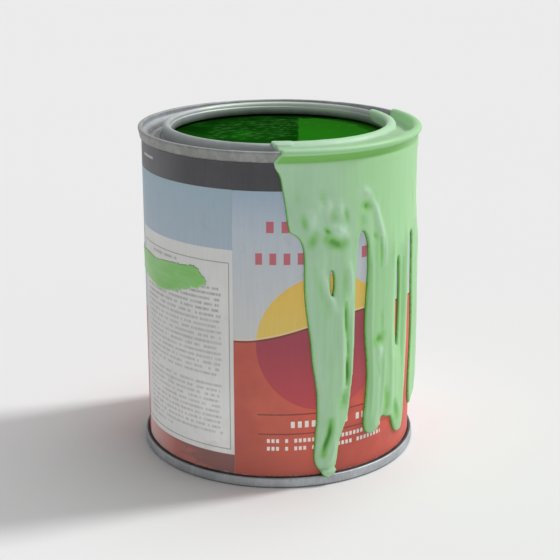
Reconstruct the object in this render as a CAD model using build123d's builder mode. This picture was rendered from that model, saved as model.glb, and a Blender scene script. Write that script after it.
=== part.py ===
from build123d import *
import math
import os

# Open one-litre lever-lid paint tin, with paint poured over its rim. Millimetres.
# Frame: origin at the centre of the base, +Z up, printed front facing -Y.
# Angles are degrees round from the front centre line (-Y), positive towards +X.
# "arc" means millimetres measured round the wall from the same line and in the
# same sense; "height" is millimetres above the base.

# ---------------------------------------------------------------- body
body_od = 108.0            # outside diameter of the welded cylinder
body_gauge = 0.24          # tinplate of the cylinder
body_line = body_od / 2 - body_gauge / 2   # centre line of the wall
lower_flange = 0.62        # centre-line height of the lower flange
upper_flange = 130.85      # centre-line height of the upper flange
rim_height = 131.5         # top of the outer rim (top double seam)
weld_width = 3.0           # side weld, a shallow ridge inside the wall
weld_rise = 0.10
weld_sink = 0.08           # extra thickness that buries the weld in the wall
weld_low = 6.0
weld_length = 119.0

# ---------------------------------------------------------------- ends
ring_gauge = 0.26          # tinplate of the lever ring
end_gauge = 0.28           # tinplate of the bottom end
seam_top = 4.0             # height of the bottom double seam
seam_radius = 56.05        # outside radius of the bottom double seam
panel_line = 3.0           # centre line of the bottom end's flat panel
raised_line = 3.7          # centre line of its two raised rings
rim_radius = 55.45         # outside radius of the top double seam
rim_line = rim_height - ring_gauge / 2
channel_floor = 126.98     # centre line of the channel floor in the ring
bead_radius = 44.20        # centre of the rolled bead round the mouth
bead_tube = 1.27           # centre-line radius of that bead
bead_inner = bead_radius - bead_tube
bead_outer = bead_radius + bead_tube
bead_crest = 132.17        # centre line at the crest of the bead
seat_radius = 42.40        # inside radius of the lid seat
seat_line = seat_radius + ring_gauge / 2
hem_line = seat_line + 0.62    # the seat's hem, folded back outwards
hem_low = 127.43

# ---------------------------------------------------------------- label
label_in = 54.03           # inside radius of the wrap-round paper label
label_gauge = 0.12
label_out = label_in + label_gauge
label_low = 4.25
label_high = 127.20
lap_angle = -37.4          # the label's outer end
lap_width = 8.5            # degrees covered by the overlap
lap_ramp = 3.0             # degrees in which the top layer comes down again
lap_gap = 0.07             # radial gap between the two layers
inner_end_gap = 0.4        # degrees from the inner end to the foot of the ramp
paste_in = label_out + 0.01
paste_out = label_out + 0.06
paste_from = lap_angle + 0.6
paste_to = lap_angle + 7.4
paste_margin = 2.0         # the paste stops this far from the label's top and bottom

# ---------------------------------------------------------------- paint
paint_level = 126.50
fill_radius = 53.60
fill_gap = 0.06            # between the bottom end and the paint
clearance = 0.05           # between the spilt paint and what it covers
coat = 0.80                # paint film over the rim
sheet = 1.00               # paint film down the side
drip = 1.90                # thicker runs of paint
side_in = label_out + clearance    # the paint film's inner face on the label
run_in = side_in + 0.03    # inner face of the thicker runs
film_low = 103.0           # lower edge of the film, hidden behind the runs
spill_from = -22.5         # angle where the pour starts
spill_split = 40.0         # where the full channel gives way to a lined one
spill_to = 101.0           # angle where the pour ends
wall_radius = 55.2         # radius on which arc lengths of the paint are laid out
reach = 70.0               # flat outlines are extruded this far, past the wall
smear_out = 54.62          # outer face of the smear
smear_band_low = 60.0      # band of wall that holds the smear
smear_band_tall = 40.0

os.makedirs("parts", exist_ok=True)


def polar(radius, degrees):
    """A point in plan."""
    a = math.radians(degrees)
    return (radius * math.sin(a), -radius * math.cos(a))


def arc_points(radius, start, end):
    """Start, middle and end of an arc in plan."""
    return [polar(radius, degrees) for degrees in (start, (start + end) / 2, end)]


def tangent_plane(degrees):
    """Upright plane through the axis: x runs round the wall, y up, z outwards."""
    a = math.radians(degrees)
    return Plane(
        origin=(0, 0, 0),
        x_dir=(math.cos(a), math.sin(a), 0),
        z_dir=(math.sin(a), -math.cos(a), 0),
    )


def section_plane(degrees):
    """Plane that holds a cross-section: x is the radius, y is the height."""
    a = math.radians(degrees)
    return Plane(
        origin=(0, 0, 0),
        x_dir=(math.sin(a), -math.cos(a), 0),
        z_dir=(-math.cos(a), -math.sin(a), 0),
    )


def seen_flat(outline, degrees):
    """Wall positions (arc, height) as points of the tangent plane at this angle."""
    middle = math.radians(degrees)
    return [
        (wall_radius * math.sin(arc / wall_radius - middle), height)
        for arc, height in outline
    ]


def turned(section, plane=Plane.XZ, sweep=360.0):
    """Solid turned about Z from a closed outline of (radius, height) points."""
    with BuildPart() as solid:
        with BuildSketch(plane):
            with BuildLine():
                Polyline(*section, close=True)
            make_face()
        revolve(axis=Axis.Z, revolution_arc=sweep)
    return solid.part


def on_wall(outline, degrees, band, slit=None):
    """The piece of a turned band inside an (arc, height) outline, less a slit."""
    with BuildPart() as patch:
        with BuildSketch(tangent_plane(degrees)):
            with BuildLine():
                Polyline(*seen_flat(outline, degrees), close=True)
            make_face()
            if slit:
                with BuildLine():
                    Polyline(*seen_flat(slit, degrees), close=True)
                make_face(mode=Mode.SUBTRACT)
        extrude(amount=reach)
        add(band, mode=Mode.INTERSECT)
    return patch.part


def save(part, name):
    part.label = name
    export_step(part, f"parts/{name}.step")


# ------------------------------------------------------------ body shell
# Straight welded cylinder. It opens slightly inside the top seam, and both
# ends are flanged outwards and folded back as the hooks of the double seams.
with BuildPart() as body_shell:
    with BuildSketch(Plane.XZ):
        with BuildLine():
            # centre line, (radius, height)
            FilletPolyline(
                (54.563, 128.80),
                (54.80, upper_flange),
                (54.12, upper_flange),
                (body_line, 127.60),
                (body_line, lower_flange),
                (55.00, lower_flange),
                (55.00, 2.95),
                radius=[0.32, 0.32, 4.0, 0.45, 0.45],
            )
            offset(amount=body_gauge / 2)
        make_face()
    revolve(axis=Axis.Z)
    # side weld at the back, a low ridge on the inside
    with BuildSketch(Plane.XY.offset(weld_low)):
        with Locations((0, body_od / 2 - body_gauge - weld_rise / 2 + weld_sink / 2)):
            Rectangle(weld_width, weld_rise + weld_sink)
    extrude(amount=weld_length)
save(body_shell.part, "body_shell")

# ------------------------------------------------------------ bottom end
# Stamped disc with two raised rings, a countersink against the wall and a
# seaming panel that wraps round the body's lower flange.
with BuildPart() as bottom_end:
    with BuildSketch(Plane.XZ):
        with BuildLine():
            # centre line, (radius, height), started beyond the axis
            FilletPolyline(
                (-2.0, panel_line),
                (14.0, panel_line),
                (15.2, raised_line),
                (19.0, raised_line),
                (20.2, panel_line),
                (33.0, panel_line),
                (34.2, raised_line),
                (38.0, raised_line),
                (39.2, panel_line),
                (50.2, panel_line),
                (51.4, 4.20),
                (53.55, 4.20),
                (53.55, end_gauge / 2),
                (55.80, end_gauge / 2),
                (seam_radius - end_gauge / 2, 1.50),
                (55.74, seam_top - end_gauge / 2),
                (54.40, seam_top - end_gauge / 2),
                (54.40, 1.45),
                radius=[0.6] * 10 + [0.55, 0.45, 0.62, 3.0, 0.62, 0.50],
            )
            offset(amount=end_gauge / 2)
        make_face()
        # keep only what lies on the +X side of the axis
        with Locations((30.0, 3.0)):
            Rectangle(60.0, 20.0, mode=Mode.INTERSECT)
    revolve(axis=Axis.Z)
save(bottom_end.part, "bottom_end")

# -------------------------------------------------------------- top ring
# Lever ring: hemmed lid seat, rolled bead round the mouth, channel, sloping
# wall, and the flared seaming panel that hooks under the body's upper flange.
with BuildPart() as top_ring:
    with BuildSketch(Plane.XZ):
        with BuildLine():
            # centre line, (radius, height)
            FilletPolyline(
                (hem_line, 128.35),
                (hem_line, hem_low),
                (seat_line, hem_low),
                (seat_line, 130.30),
                (bead_inner, 130.75),
                (bead_inner, bead_crest),
                (bead_outer, bead_crest),
                (bead_outer, channel_floor),
                (51.35, channel_floor),
                (53.68, 129.60),
                (53.90, rim_line),
                (55.40, rim_line),
                (54.57, 127.56),
                (54.24, 127.56),
                (54.32, 129.70),
                radius=[
                    0.30, 0.30, 0.40, 0.40, 1.26, 1.26, 0.50,
                    0.35, 1.20, 0.45, 0.45, 0.16, 0.16,
                ],
            )
            offset(amount=ring_gauge / 2)
        make_face()
    revolve(axis=Axis.Z)
save(top_ring.part, "top_ring")

# ------------------------------------------------- seam sealing compound
# sections, (radius, height)
bottom_compound = [
    (55.18, 0.85), (55.18, 2.90), (55.56, 2.90), (55.70, 1.70), (55.62, 1.00), (55.42, 0.66),
]
top_compound = [
    (54.42, 131.01), (54.42, 131.20), (54.98, 131.20), (55.08, 131.08),
    (55.00, 130.35), (54.92, 130.35), (54.94, 130.80), (54.86, 131.01),
]
save(turned(bottom_compound), "bottom_seam_compound")
save(turned(top_compound), "top_seam_compound")

# ----------------------------------------------------------------- label
# One paper sheet wrapped round the body. Its outer end lies over its inner
# end, so in plan the sheet is a ring whose last degrees climb over the first.
lap_in = label_out + lap_gap
lap_out = lap_in + label_gauge
ramp_start = lap_angle + lap_width
ramp_end = ramp_start + lap_ramp
half_way = ramp_end + 180
inner_end = ramp_start - inner_end_gap + 360.0
with BuildPart() as label:
    with BuildSketch(Plane.XY.offset(label_low)):
        with BuildLine():
            # outer face
            Line(polar(lap_in, lap_angle), polar(lap_out, lap_angle))
            ThreePointArc(*arc_points(lap_out, lap_angle, ramp_start))
            Line(polar(lap_out, ramp_start), polar(label_out, ramp_end))
            ThreePointArc(*arc_points(label_out, ramp_end, half_way))
            ThreePointArc(*arc_points(label_out, half_way, inner_end))
            # inner face, back again
            Line(polar(label_out, inner_end), polar(label_in, inner_end))
            ThreePointArc(*arc_points(label_in, inner_end, half_way))
            ThreePointArc(*arc_points(label_in, half_way, ramp_end))
            Line(polar(label_in, ramp_end), polar(lap_in, ramp_start))
            ThreePointArc(*arc_points(lap_in, ramp_start, lap_angle))
        make_face()
    extrude(amount=label_high - label_low)
save(label.part, "label")

# strip of paste that holds the label's overlap down
with BuildPart() as label_paste:
    with BuildSketch(Plane.XY.offset(label_low + paste_margin)):
        with BuildLine():
            Line(polar(paste_in, paste_from), polar(paste_out, paste_from))
            ThreePointArc(*arc_points(paste_out, paste_from, paste_to))
            Line(polar(paste_out, paste_to), polar(paste_in, paste_to))
            ThreePointArc(*arc_points(paste_in, paste_to, paste_from))
        make_face()
    extrude(amount=label_high - label_low - 2 * paste_margin)
save(label_paste.part, "label_paste")

# ------------------------------------------------------------ paint fill
# The paint left in the tin, flat on top, its underside following the
# bottom end's rings.
fill_panel = panel_line + end_gauge / 2 + fill_gap
fill_raised = raised_line + end_gauge / 2 + fill_gap
fill_section = [
    (0.0, fill_panel), (13.4, fill_panel), (14.6, fill_raised), (19.6, fill_raised),
    (20.8, fill_panel), (32.4, fill_panel), (33.6, fill_raised), (38.6, fill_raised),
    (39.8, fill_panel), (49.4, fill_panel), (50.7, 4.42), (fill_radius, 4.42),
    (fill_radius, paint_level), (0.0, paint_level),
]
save(turned(fill_section), "paint_fill")

# ------------------------------------------------------ paint spill: film
# Section of the film, (radius, height). Its under-surface runs just clear of
# the metal, from the lid seat over the bead, through the channel, over the
# rim, down the skirt and onto the label; its upper surface comes back.
bead_top = bead_crest + ring_gauge / 2 + clearance
channel_top = channel_floor + ring_gauge / 2 + clearance
rim_top = rim_height + clearance
seat_edge = (42.66, 130.86)
bead_foot = (45.68, 130.91)
under_bead = [
    seat_edge, (42.74, 130.96), (42.80, 131.45), (43.12, 132.00), (43.60, 132.31),
    (bead_radius, bead_top + 0.03), (44.80, 132.31), (45.28, 132.00), (45.60, 131.45), bead_foot,
]
under_channel_to_label = [
    bead_foot, (45.66, 127.60), (45.95, channel_top), (50.90, channel_top), (51.42, 127.42),
    (53.48, 129.74), (53.64, 130.60), (53.62, 131.02), (53.80, 131.40),
    (54.16, rim_top), (55.10, rim_top), (55.46, 131.38),
    (55.53, 130.95), (54.85, 127.72), (54.70, 127.38), (side_in, 127.05), (side_in, film_low),
]
over_rim = [
    (side_in + sheet, film_low), (side_in + sheet, 126.4), (55.62, 127.6),
    (rim_radius + coat, 130.9), (55.95, 131.8), (55.30, 132.3), (54.20, 132.35),
]
over_bead = [
    (45.6, 132.7), (44.9, 133.0), (44.0, 133.08), (43.1, 132.75), (42.62, 132.1),
    (42.52, 131.5), seat_edge,
]
# upper surface between rim and bead: channel full of paint, or only lined
channel_full = [(53.2, 131.9), (52.2, 131.2), (47.6, 131.2), (46.6, 131.9)]
channel_lined = [
    (53.3, 131.9), (52.9, 130.6), (50.8, 128.2), (46.7, 128.2), (46.6, 131.4), (46.3, 132.2),
]


def film_section(over_channel):
    """Sketch of the film's cross-section with the given surface over the channel."""
    with BuildSketch(Plane.XZ, mode=Mode.PRIVATE) as section:
        with BuildLine():
            Polyline(*under_bead)
            Polyline(*under_channel_to_label, *over_rim, *over_channel, *over_bead)
        make_face()
    return section.sketch


def film(over_channel, start, end):
    """Film turned from one angle to another."""
    with BuildPart() as solid:
        with BuildSketch(section_plane(start)):
            add(film_section(over_channel))
        revolve(axis=Axis.Z, revolution_arc=end - start)
    return solid.part


film_front = film(channel_full, spill_from, spill_split)
film_right = film(channel_lined, spill_split, spill_to)

# ------------------------------------------------------ paint spill: runs
# outlines of the runs of paint down the side, and of slits in them, (arc, height)
run_1 = [
    (-15.0, 108.0), (-13.4, 102.4), (-10.6, 99.4), (-9.2, 92.0), (-9.0, 80.0), (-8.4, 70.0),
    (-7.2, 62.0), (-6.0, 52.0), (-4.8, 42.0), (-4.0, 32.0), (-4.0, 25.0), (-4.6, 17.0),
    (-4.8, 11.0), (-4.0, 7.0), (-2.6, 5.0), (-1.6, 3.0), (2.2, 3.0), (3.4, 5.0), (4.8, 8.5),
    (5.6, 14.0), (7.0, 20.5), (9.2, 26.0), (10.4, 33.0), (11.4, 42.0), (11.9, 52.0),
    (12.1, 66.0), (12.3, 82.0), (12.9, 93.0), (13.7, 98.2), (14.8, 99.7), (17.5, 108.0),
]
run_2 = [
    (12.0, 108.0), (14.6, 99.9), (15.9, 98.6), (16.8, 96.6), (17.5, 91.0), (17.6, 80.0),
    (16.8, 70.0), (16.8, 58.0), (17.8, 49.0), (18.3, 42.0), (17.9, 34.0), (17.1, 26.0),
    (17.2, 20.0), (18.6, 17.3), (21.0, 16.3), (24.0, 16.6), (26.0, 18.6), (26.8, 21.4),
    (29.4, 21.2), (31.4, 20.6), (33.6, 20.2), (35.0, 16.4), (37.0, 12.8), (39.6, 11.2),
    (42.4, 11.4), (44.0, 14.6), (45.0, 20.0), (45.8, 30.0), (46.6, 42.0), (46.9, 56.0),
    (46.9, 70.0), (46.6, 84.0), (46.9, 91.6), (47.8, 94.0), (49.3, 95.0), (52.5, 108.0),
]
run_3 = [
    (46.5, 108.0), (49.1, 95.2), (50.3, 94.2), (51.2, 92.0), (52.0, 82.0), (53.0, 70.0),
    (54.6, 58.0), (55.2, 48.0), (54.6, 36.0), (53.6, 26.0), (54.4, 20.0), (57.0, 16.8),
    (61.0, 16.0), (65.0, 18.0), (67.6, 23.0), (68.6, 32.0), (69.6, 42.0), (72.0, 48.0),
    (74.6, 46.0), (77.0, 42.0), (79.6, 44.0), (81.0, 52.0), (81.8, 64.0), (84.0, 72.0),
    (87.0, 76.0), (89.6, 82.0), (92.0, 92.0), (95.8, 102.0), (95.9, 108.0),
]
slit_1 = [(0.9, 86.6), (2.1, 86.0), (2.4, 81.0), (2.2, 77.0), (1.2, 77.0), (0.8, 81.0)]
slit_2 = [
    (36.3, 85.5), (37.3, 81.0), (37.7, 74.0), (37.6, 62.0), (37.2, 53.0), (36.6, 49.0),
    (35.9, 52.0), (35.4, 60.0), (35.2, 70.0), (35.5, 80.0),
]

# Radial envelopes of the runs, (radius, height): thicker low down than near
# the rim. The last run, at the right, has its own envelope.
side_envelope = [
    (run_in, 4.12), (56.9, 4.12), (56.9, 12.0), (side_in + drip, 18.0),
    (side_in + drip, 96.0), (side_in + sheet - 0.15, 104.0), (run_in, 104.0),
]
right_envelope = [
    (run_in, 14.0), (56.4, 14.0), (57.0, 24.0), (56.8, 50.0),
    (side_in + drip, 92.0), (side_in + sheet - 0.1, 104.3), (run_in, 104.3),
]
# the first run's tip, (radius, height), lies over the edge of the bottom seam
tip_section = [(56.12, 2.9), (56.75, 2.9), (57.05, 3.6), (57.05, 5.4), (56.12, 5.4)]
tip_from = -4.5
tip_sweep = 8.0

# the bands start and end at the back left, away from the runs
band_start = section_plane(-150)
side_band = turned(side_envelope, band_start)
right_band = turned(right_envelope, band_start)

with BuildPart() as paint_spill:
    add(film_front)
    add(film_right)
# The runs are made outside the builder that joins them.
first_run = on_wall(run_1, 0, side_band, slit_1)
second_run = on_wall(run_2, 33, side_band, slit_2)
third_run = on_wall(run_3, 75, right_band)
run_tip = turned(tip_section, section_plane(tip_from), tip_sweep)

with BuildPart() as paint_spill:
    for piece in (film_front, film_right, first_run, second_run, third_run, run_tip):
        add(piece)
save(paint_spill.part, "paint_spill")

# ----------------------------------------------------------- paint smear
# A dab wiped sideways over the label's left panel, (arc, height).
smear = [
    (-46.8, 80.6), (-48.6, 83.0), (-51.4, 85.8), (-58.0, 85.6), (-68.0, 84.6), (-80.0, 84.0),
    (-92.0, 84.2), (-102.0, 83.6), (-112.0, 82.0), (-115.0, 79.5), (-111.0, 76.0),
    (-102.0, 74.0), (-90.0, 73.2), (-78.0, 72.2), (-70.0, 72.6), (-60.0, 75.0),
    (-53.0, 77.0), (-48.6, 78.4),
]
with BuildPart() as smear_band:
    with BuildSketch(Plane.XY.offset(smear_band_low)):
        Circle(smear_out)
        Circle(side_in, mode=Mode.SUBTRACT)
    extrude(amount=smear_band_tall)
save(on_wall(smear, -84, smear_band.part), "paint_smear")
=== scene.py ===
"""An open paint tin: rolled metal ends, a printed paper label, wet paint inside and paint run
down the side.

The tin stands on z = 0 with its axis on +Z and its front towards -Y. Angles and distances round
the side grow from the front towards +X. Lengths are in mm unless a comment says otherwise.
"""

import math
from functools import cached_property, partial

import bmesh
import bpy
import numpy as np
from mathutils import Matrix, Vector, noise


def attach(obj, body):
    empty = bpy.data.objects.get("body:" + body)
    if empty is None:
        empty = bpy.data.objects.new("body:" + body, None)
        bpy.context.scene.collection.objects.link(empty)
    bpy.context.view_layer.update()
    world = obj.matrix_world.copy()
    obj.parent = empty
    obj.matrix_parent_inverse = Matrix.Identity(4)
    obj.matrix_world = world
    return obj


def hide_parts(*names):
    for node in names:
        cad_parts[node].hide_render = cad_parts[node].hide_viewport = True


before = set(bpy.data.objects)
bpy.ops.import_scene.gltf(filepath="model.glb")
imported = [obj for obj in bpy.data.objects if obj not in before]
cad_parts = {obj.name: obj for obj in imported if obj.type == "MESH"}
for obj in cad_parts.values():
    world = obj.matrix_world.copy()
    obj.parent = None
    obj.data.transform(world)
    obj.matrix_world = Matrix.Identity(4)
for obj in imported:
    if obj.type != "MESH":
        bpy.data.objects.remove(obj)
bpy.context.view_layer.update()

MM = 0.001
CAMERA_TURN = math.radians(19.3)  # from the side facing the camera round to the front
# Positions along the side are arcs on one of two radii, counted from the side facing the camera.
PAINT_RADIUS, PAINT_TURN = 55.2, 18.59  # the run paint's radius, and the arc to the front
LABEL_RADIUS, LABEL_TURN = 54.3, 18.29  # the same for the label and metal ends


# ------------------------------------------------------------------ flat curves
def turned(vector, angle):
    """A flat vector turned anticlockwise."""
    cos, sin = math.cos(angle), math.sin(angle)
    return np.array([vector[0] * cos - vector[1] * sin, vector[0] * sin + vector[1] * cos])


def rounded(points, radii, step):
    """An open polyline with each inner corner rounded to its radius, in steps of degrees."""
    points = np.array(points, float)
    out = [points[0]]
    for before, corner, after, radius in zip(points, points[1:], points[2:], radii):
        back, ahead = before - corner, after - corner
        back /= np.linalg.norm(back)
        ahead /= np.linalg.norm(ahead)
        opening = math.acos(float(np.clip(back @ ahead, -1, 1)))
        reach = radius / math.tan(opening / 2)
        middle = (back + ahead) / np.linalg.norm(back + ahead)
        centre = corner + middle * radius / math.sin(opening / 2)
        start = corner + back * reach - centre
        end = corner + ahead * reach - centre
        sweep = math.pi - opening
        sign = 1 if start[0] * end[1] - start[1] * end[0] > 0 else -1
        count = max(2, math.ceil(math.degrees(sweep) / step))
        out += [centre + turned(start, sign * sweep * k / count) for k in range(count + 1)]
    out.append(points[-1])
    return np.array(out)


def side_of(path, distance):
    """The path moved sideways by a distance, left of its direction."""
    along = np.diff(path, axis=0)
    along /= np.linalg.norm(along, axis=1)[:, None]
    normal = np.stack([-along[:, 1], along[:, 0]], 1)
    mean = np.vstack([normal[:1], normal[:-1] + normal[1:], normal[-1:]])
    mean /= np.linalg.norm(mean, axis=1)[:, None]
    return path + mean * distance


def sheet_section(path, half, open_start=False):
    """Closed outline of a sheet of metal along a path, with rounded edges."""
    left, right = side_of(path, half), side_of(path, -half)

    def cap(centre, start):
        return [centre + turned(start - centre, -math.pi * k / 5) for k in range(1, 5)]

    out = list(left) + cap(path[-1], left[-1]) + list(right[::-1])
    if not open_start:
        out += cap(path[0], right[0])
    return np.array(out)


def resampled(path, spacing):
    """Extra points on the long straight parts of a path."""
    out = [path[0]]
    for start, end in zip(path[:-1], path[1:]):
        count = max(1, int(np.linalg.norm(end - start) / spacing))
        out += [start + (end - start) * k / count for k in range(1, count + 1)]
    return np.array(out)


def smooth_step(x, start, end):
    share = np.clip((x - start) / (end - start), 0, 1)
    return share * share * (3 - 2 * share)


def hermite(share, start, end, start_slope, end_slope):
    square, cube = share**2, share**3
    return (
        (2 * cube - 3 * square + 1) * start + (cube - 2 * square + share) * start_slope
        + (-2 * cube + 3 * square) * end + (cube - square) * end_slope
    )


def curve_through(points, spacing, closed=True):
    """Points along a smooth curve through the given ones."""
    points = np.array(points, float)
    count = len(points)
    out = []
    for i in range(count if closed else count - 1):
        near = [i + k if not closed else (i + k) % count for k in (-1, 0, 1, 2)]
        before, start, end, after = (points[min(max(k, 0), count - 1)] for k in near)
        pairs = ((before, start), (start, end), (end, after))
        length = [max(np.linalg.norm(b - a), 1e-6) for a, b in pairs]
        # slopes limited, so that unevenly spaced points don't overshoot
        start_slope = (end - before) / (length[0] + length[1]) * length[1]
        end_slope = (after - start) / (length[1] + length[2]) * length[1]
        parts = max(2, int(np.linalg.norm(end - start) / spacing))
        out += [hermite(k / parts, start, end, start_slope, end_slope) for k in range(parts)]
    if not closed:
        out.append(points[-1])
    return np.array(out)


def nearest_on(line, points, closed=True):
    """Each point's distance to a polyline, and the nearest place on it."""
    start = line if closed else line[:-1]
    step = (np.roll(line, -1, 0) if closed else line[1:]) - start
    square = np.maximum((step * step).sum(1), 1e-12)
    best = np.full(len(points), 1e9)
    near = np.zeros((len(points), 2))
    for first in range(0, len(points), 4000):  # in batches, to spare memory
        batch = points[first:first + 4000]
        share = ((batch[:, None, :] - start[None]) * step[None]).sum(2) / square[None]
        place = start[None] + np.clip(share, 0, 1)[..., None] * step[None]
        far = np.linalg.norm(batch[:, None, :] - place, axis=2)
        i = far.argmin(1)
        rows = np.arange(len(batch))
        best[first:first + 4000] = far[rows, i]
        near[first:first + 4000] = place[rows, i]
    return best, near


def nearest_edge(loops, points):
    """The same for several closed loops at once."""
    dist, near = nearest_on(loops[0], points)
    for loop in loops[1:]:
        other, place = nearest_on(loop, points)
        near[other < dist] = place[other < dist]
        dist = np.minimum(dist, other)
    return dist, near


def inside(loop, points):
    """True where a point lies inside a closed loop."""
    x, y = points[:, 0], points[:, 1]
    hit = np.zeros(len(points), bool)
    for (x0, y0), (x1, y1) in zip(loop, np.roll(loop, -1, 0)):
        if y0 != y1:
            hit ^= ((y0 > y) != (y1 > y)) & (x < (x1 - x0) * (y - y0) / (y1 - y0) + x0)
    return hit


def noise_at(x, y, z=0.0):
    return noise.noise(Vector((x, y, z)))


def waves(points, scale, seed):
    """Smooth noise from -1 to 1 at flat points; scale is waves per mm in each direction."""
    return np.array([noise_at(x * scale[0] + seed, y * scale[1] - seed, seed * 1.7)
                     for x, y in points])


# -------------------------------------------------------------------- meshes
def around(radius, angle, z):
    """Places at an angle round the tin from its front."""
    return np.stack([radius * np.sin(angle), -radius * np.cos(angle), z], -1)


def add_attribute(mesh, name, values):
    layer = mesh.attributes.new(name, "FLOAT", "POINT")
    layer.data.foreach_set("value", values.astype(np.float32))


def add_mesh(name, points, faces, attributes={}, weld=False):
    """A smooth object from points in mm, with its normals made consistent."""
    mesh = bpy.data.meshes.new(name)
    mesh.from_pydata((points * MM).tolist(), [], faces)
    for key, values in attributes.items():
        add_attribute(mesh, key, values)
    bm = bmesh.new()
    bm.from_mesh(mesh)
    if weld:
        bmesh.ops.remove_doubles(bm, verts=bm.verts, dist=2e-7)
        bmesh.ops.dissolve_degenerate(bm, edges=bm.edges, dist=1e-8)
    bmesh.ops.recalc_face_normals(bm, faces=bm.faces)
    bm.to_mesh(mesh)
    bm.free()
    mesh.update()
    mesh.shade_smooth()
    obj = bpy.data.objects.new(name, mesh)
    bpy.context.scene.collection.objects.link(obj)
    return obj


def lathe(name, outline, segments, shape, closed=False):
    """Revolves an outline of (radius, height), which shape(radius, z, angle) then moves."""
    count = len(outline)
    angle = np.repeat((np.arange(segments) * 2 * math.pi / segments)[:, None], count, 1)
    radius, z = (np.repeat(outline[None, :, i], segments, 0) for i in (0, 1))
    radius, z = shape(radius, z, angle)
    faces = []
    for i in range(segments):
        here, there = i * count, (i + 1) % segments * count
        for k in range(count if closed else count - 1):
            after = (k + 1) % count
            faces.append((here + k, there + k, there + after, here + after))
    return add_mesh(name, around(radius, angle, z).reshape(-1, 3), faces, weld=True)


def film(name, loops, pitch, place):
    """A closed film of paint over a surface laid out flat.

    loops[0] is its outline and the others are holes. place(points, distance to the edge, nearest
    edge point) gives the under-side points, the outer points and the attribute values.
    """
    every = np.vstack(loops)
    low, high = every.min(0) - 1, every.max(0) + 1
    columns, rows = ((high - low) / pitch).astype(int) + 2
    numbers = np.meshgrid(np.arange(columns), np.arange(rows), indexing="ij")
    grid = low + np.stack(numbers, -1) * np.array(pitch)
    centres = ((grid[:-1, :-1] + grid[1:, 1:]) / 2).reshape(-1, 2)
    keep = inside(loops[0], centres)
    for hole in loops[1:]:
        keep &= ~inside(hole, centres)
    keep = keep.reshape(columns - 1, rows - 1)
    # leave out stray cells and cells that touch the rest only at a corner
    for _ in range(3):
        moves = ((1, 0), (-1, 0), (1, 1), (-1, 1))
        keep &= sum(np.roll(keep, by, axis).astype(int) for by, axis in moves) >= 2
        corner = keep[:-1, :-1] & keep[1:, 1:] & ~keep[1:, :-1] & ~keep[:-1, 1:]
        keep[1:, 1:][corner] = False
        corner = keep[1:, :-1] & keep[:-1, 1:] & ~keep[:-1, :-1] & ~keep[1:, 1:]
        keep[1:, :-1][corner] = False

    used = np.zeros((columns, rows), int)
    for i, j in ((0, 0), (1, 0), (0, 1), (1, 1)):
        used[i:columns - 1 + i, j:rows - 1 + j] += keep
    on = used > 0
    edge = used[on] < 4
    index = np.full((columns, rows), -1)
    index[on] = np.arange(on.sum())
    points = grid[on].copy()
    dist, near = nearest_edge(loops, points)
    points[edge] = near[edge]
    # points just inside the edge are evened out along with it
    blend = ~edge & (dist < 1.2)
    for _ in range(2):
        total, number = np.zeros_like(points), np.zeros(len(points))
        for move in ((-1, 0), (1, 0), (0, -1), (0, 1)):
            other = np.roll(index, move, (0, 1))[on]
            there = other >= 0
            total[there] += points[other[there]]
            number[there] += 1
        points[blend] = 0.5 * points[blend] + 0.5 * total[blend] / number[blend][:, None]
    dist, near = nearest_edge(loops, points)
    dist[edge] = 0

    under, outer, values = place(points, dist, near)
    # both sides share the edge points
    lower = np.arange(len(points))
    lower[~edge] = len(points) + np.arange((~edge).sum())
    i, j = np.nonzero(keep)
    quads = np.stack([index[i, j], index[i + 1, j], index[i + 1, j + 1], index[i, j + 1]], 1)
    faces = np.vstack([quads, lower[quads][:, ::-1]]).tolist()
    values = {key: np.concatenate([value, value[~edge]]) for key, value in values.items()}
    return add_mesh(name, np.vstack([outer, under[~edge]]), faces, values)


# ----------------------------------------------------------- shader shorthand
def srgb(red, green, blue, light=1.0):
    """Linear colour that shows as this 0 to 255 colour under that much light."""
    def linear(part):
        part /= 255.0
        return part / 12.92 if part <= 0.04045 else ((part + 0.055) / 1.055) ** 2.4
    return tuple(min(0.97, linear(part) / light) for part in (red, green, blue)) + (1.0,)


class Value:
    """A node's output that can be added, multiplied and so on."""

    def __init__(self, look, socket):
        self.look, self.socket = look, socket

    def math(self, kind, other=None, clamp=False):
        return self.look.math(kind, self, other, clamp)

    def __add__(self, other):
        return self.math("ADD", other)

    __radd__ = __add__

    def __sub__(self, other):
        return self.math("SUBTRACT", other)

    def __rsub__(self, other):
        return self.look.math("SUBTRACT", other, self)

    def __mul__(self, other):
        return self.math("MULTIPLY", other)

    __rmul__ = __mul__

    def __truediv__(self, other):
        return self.math("DIVIDE", other)

    def __neg__(self):
        return self * -1

    def most(self, other):
        return self.math("MAXIMUM", other)

    def ramp(self, start, end, to=(0, 1), kind="LINEAR"):
        """start to end becomes the first to the second value of to, held at the ends."""
        inputs = dict(enumerate((self, start, end, *to)))
        return self.look.add("MapRange", inputs, interpolation_type=kind, clamp=True)

    def ease(self, start, end, to=(0, 1)):
        """A ramp with smooth ends."""
        return self.ramp(start, end, to, "SMOOTHSTEP")

    def above(self, limit, soft):
        """0 below a limit and 1 above it, changing over the width soft."""
        return ((self - limit) / soft).math("ADD", 0.5, clamp=True)

    def below(self, limit, soft):
        return 1 - self.above(limit, soft)

    def band(self, low, high, soft):
        """1 between low and high, with edges as wide as soft."""
        return self.above(low, soft) * self.below(high, soft)


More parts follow.
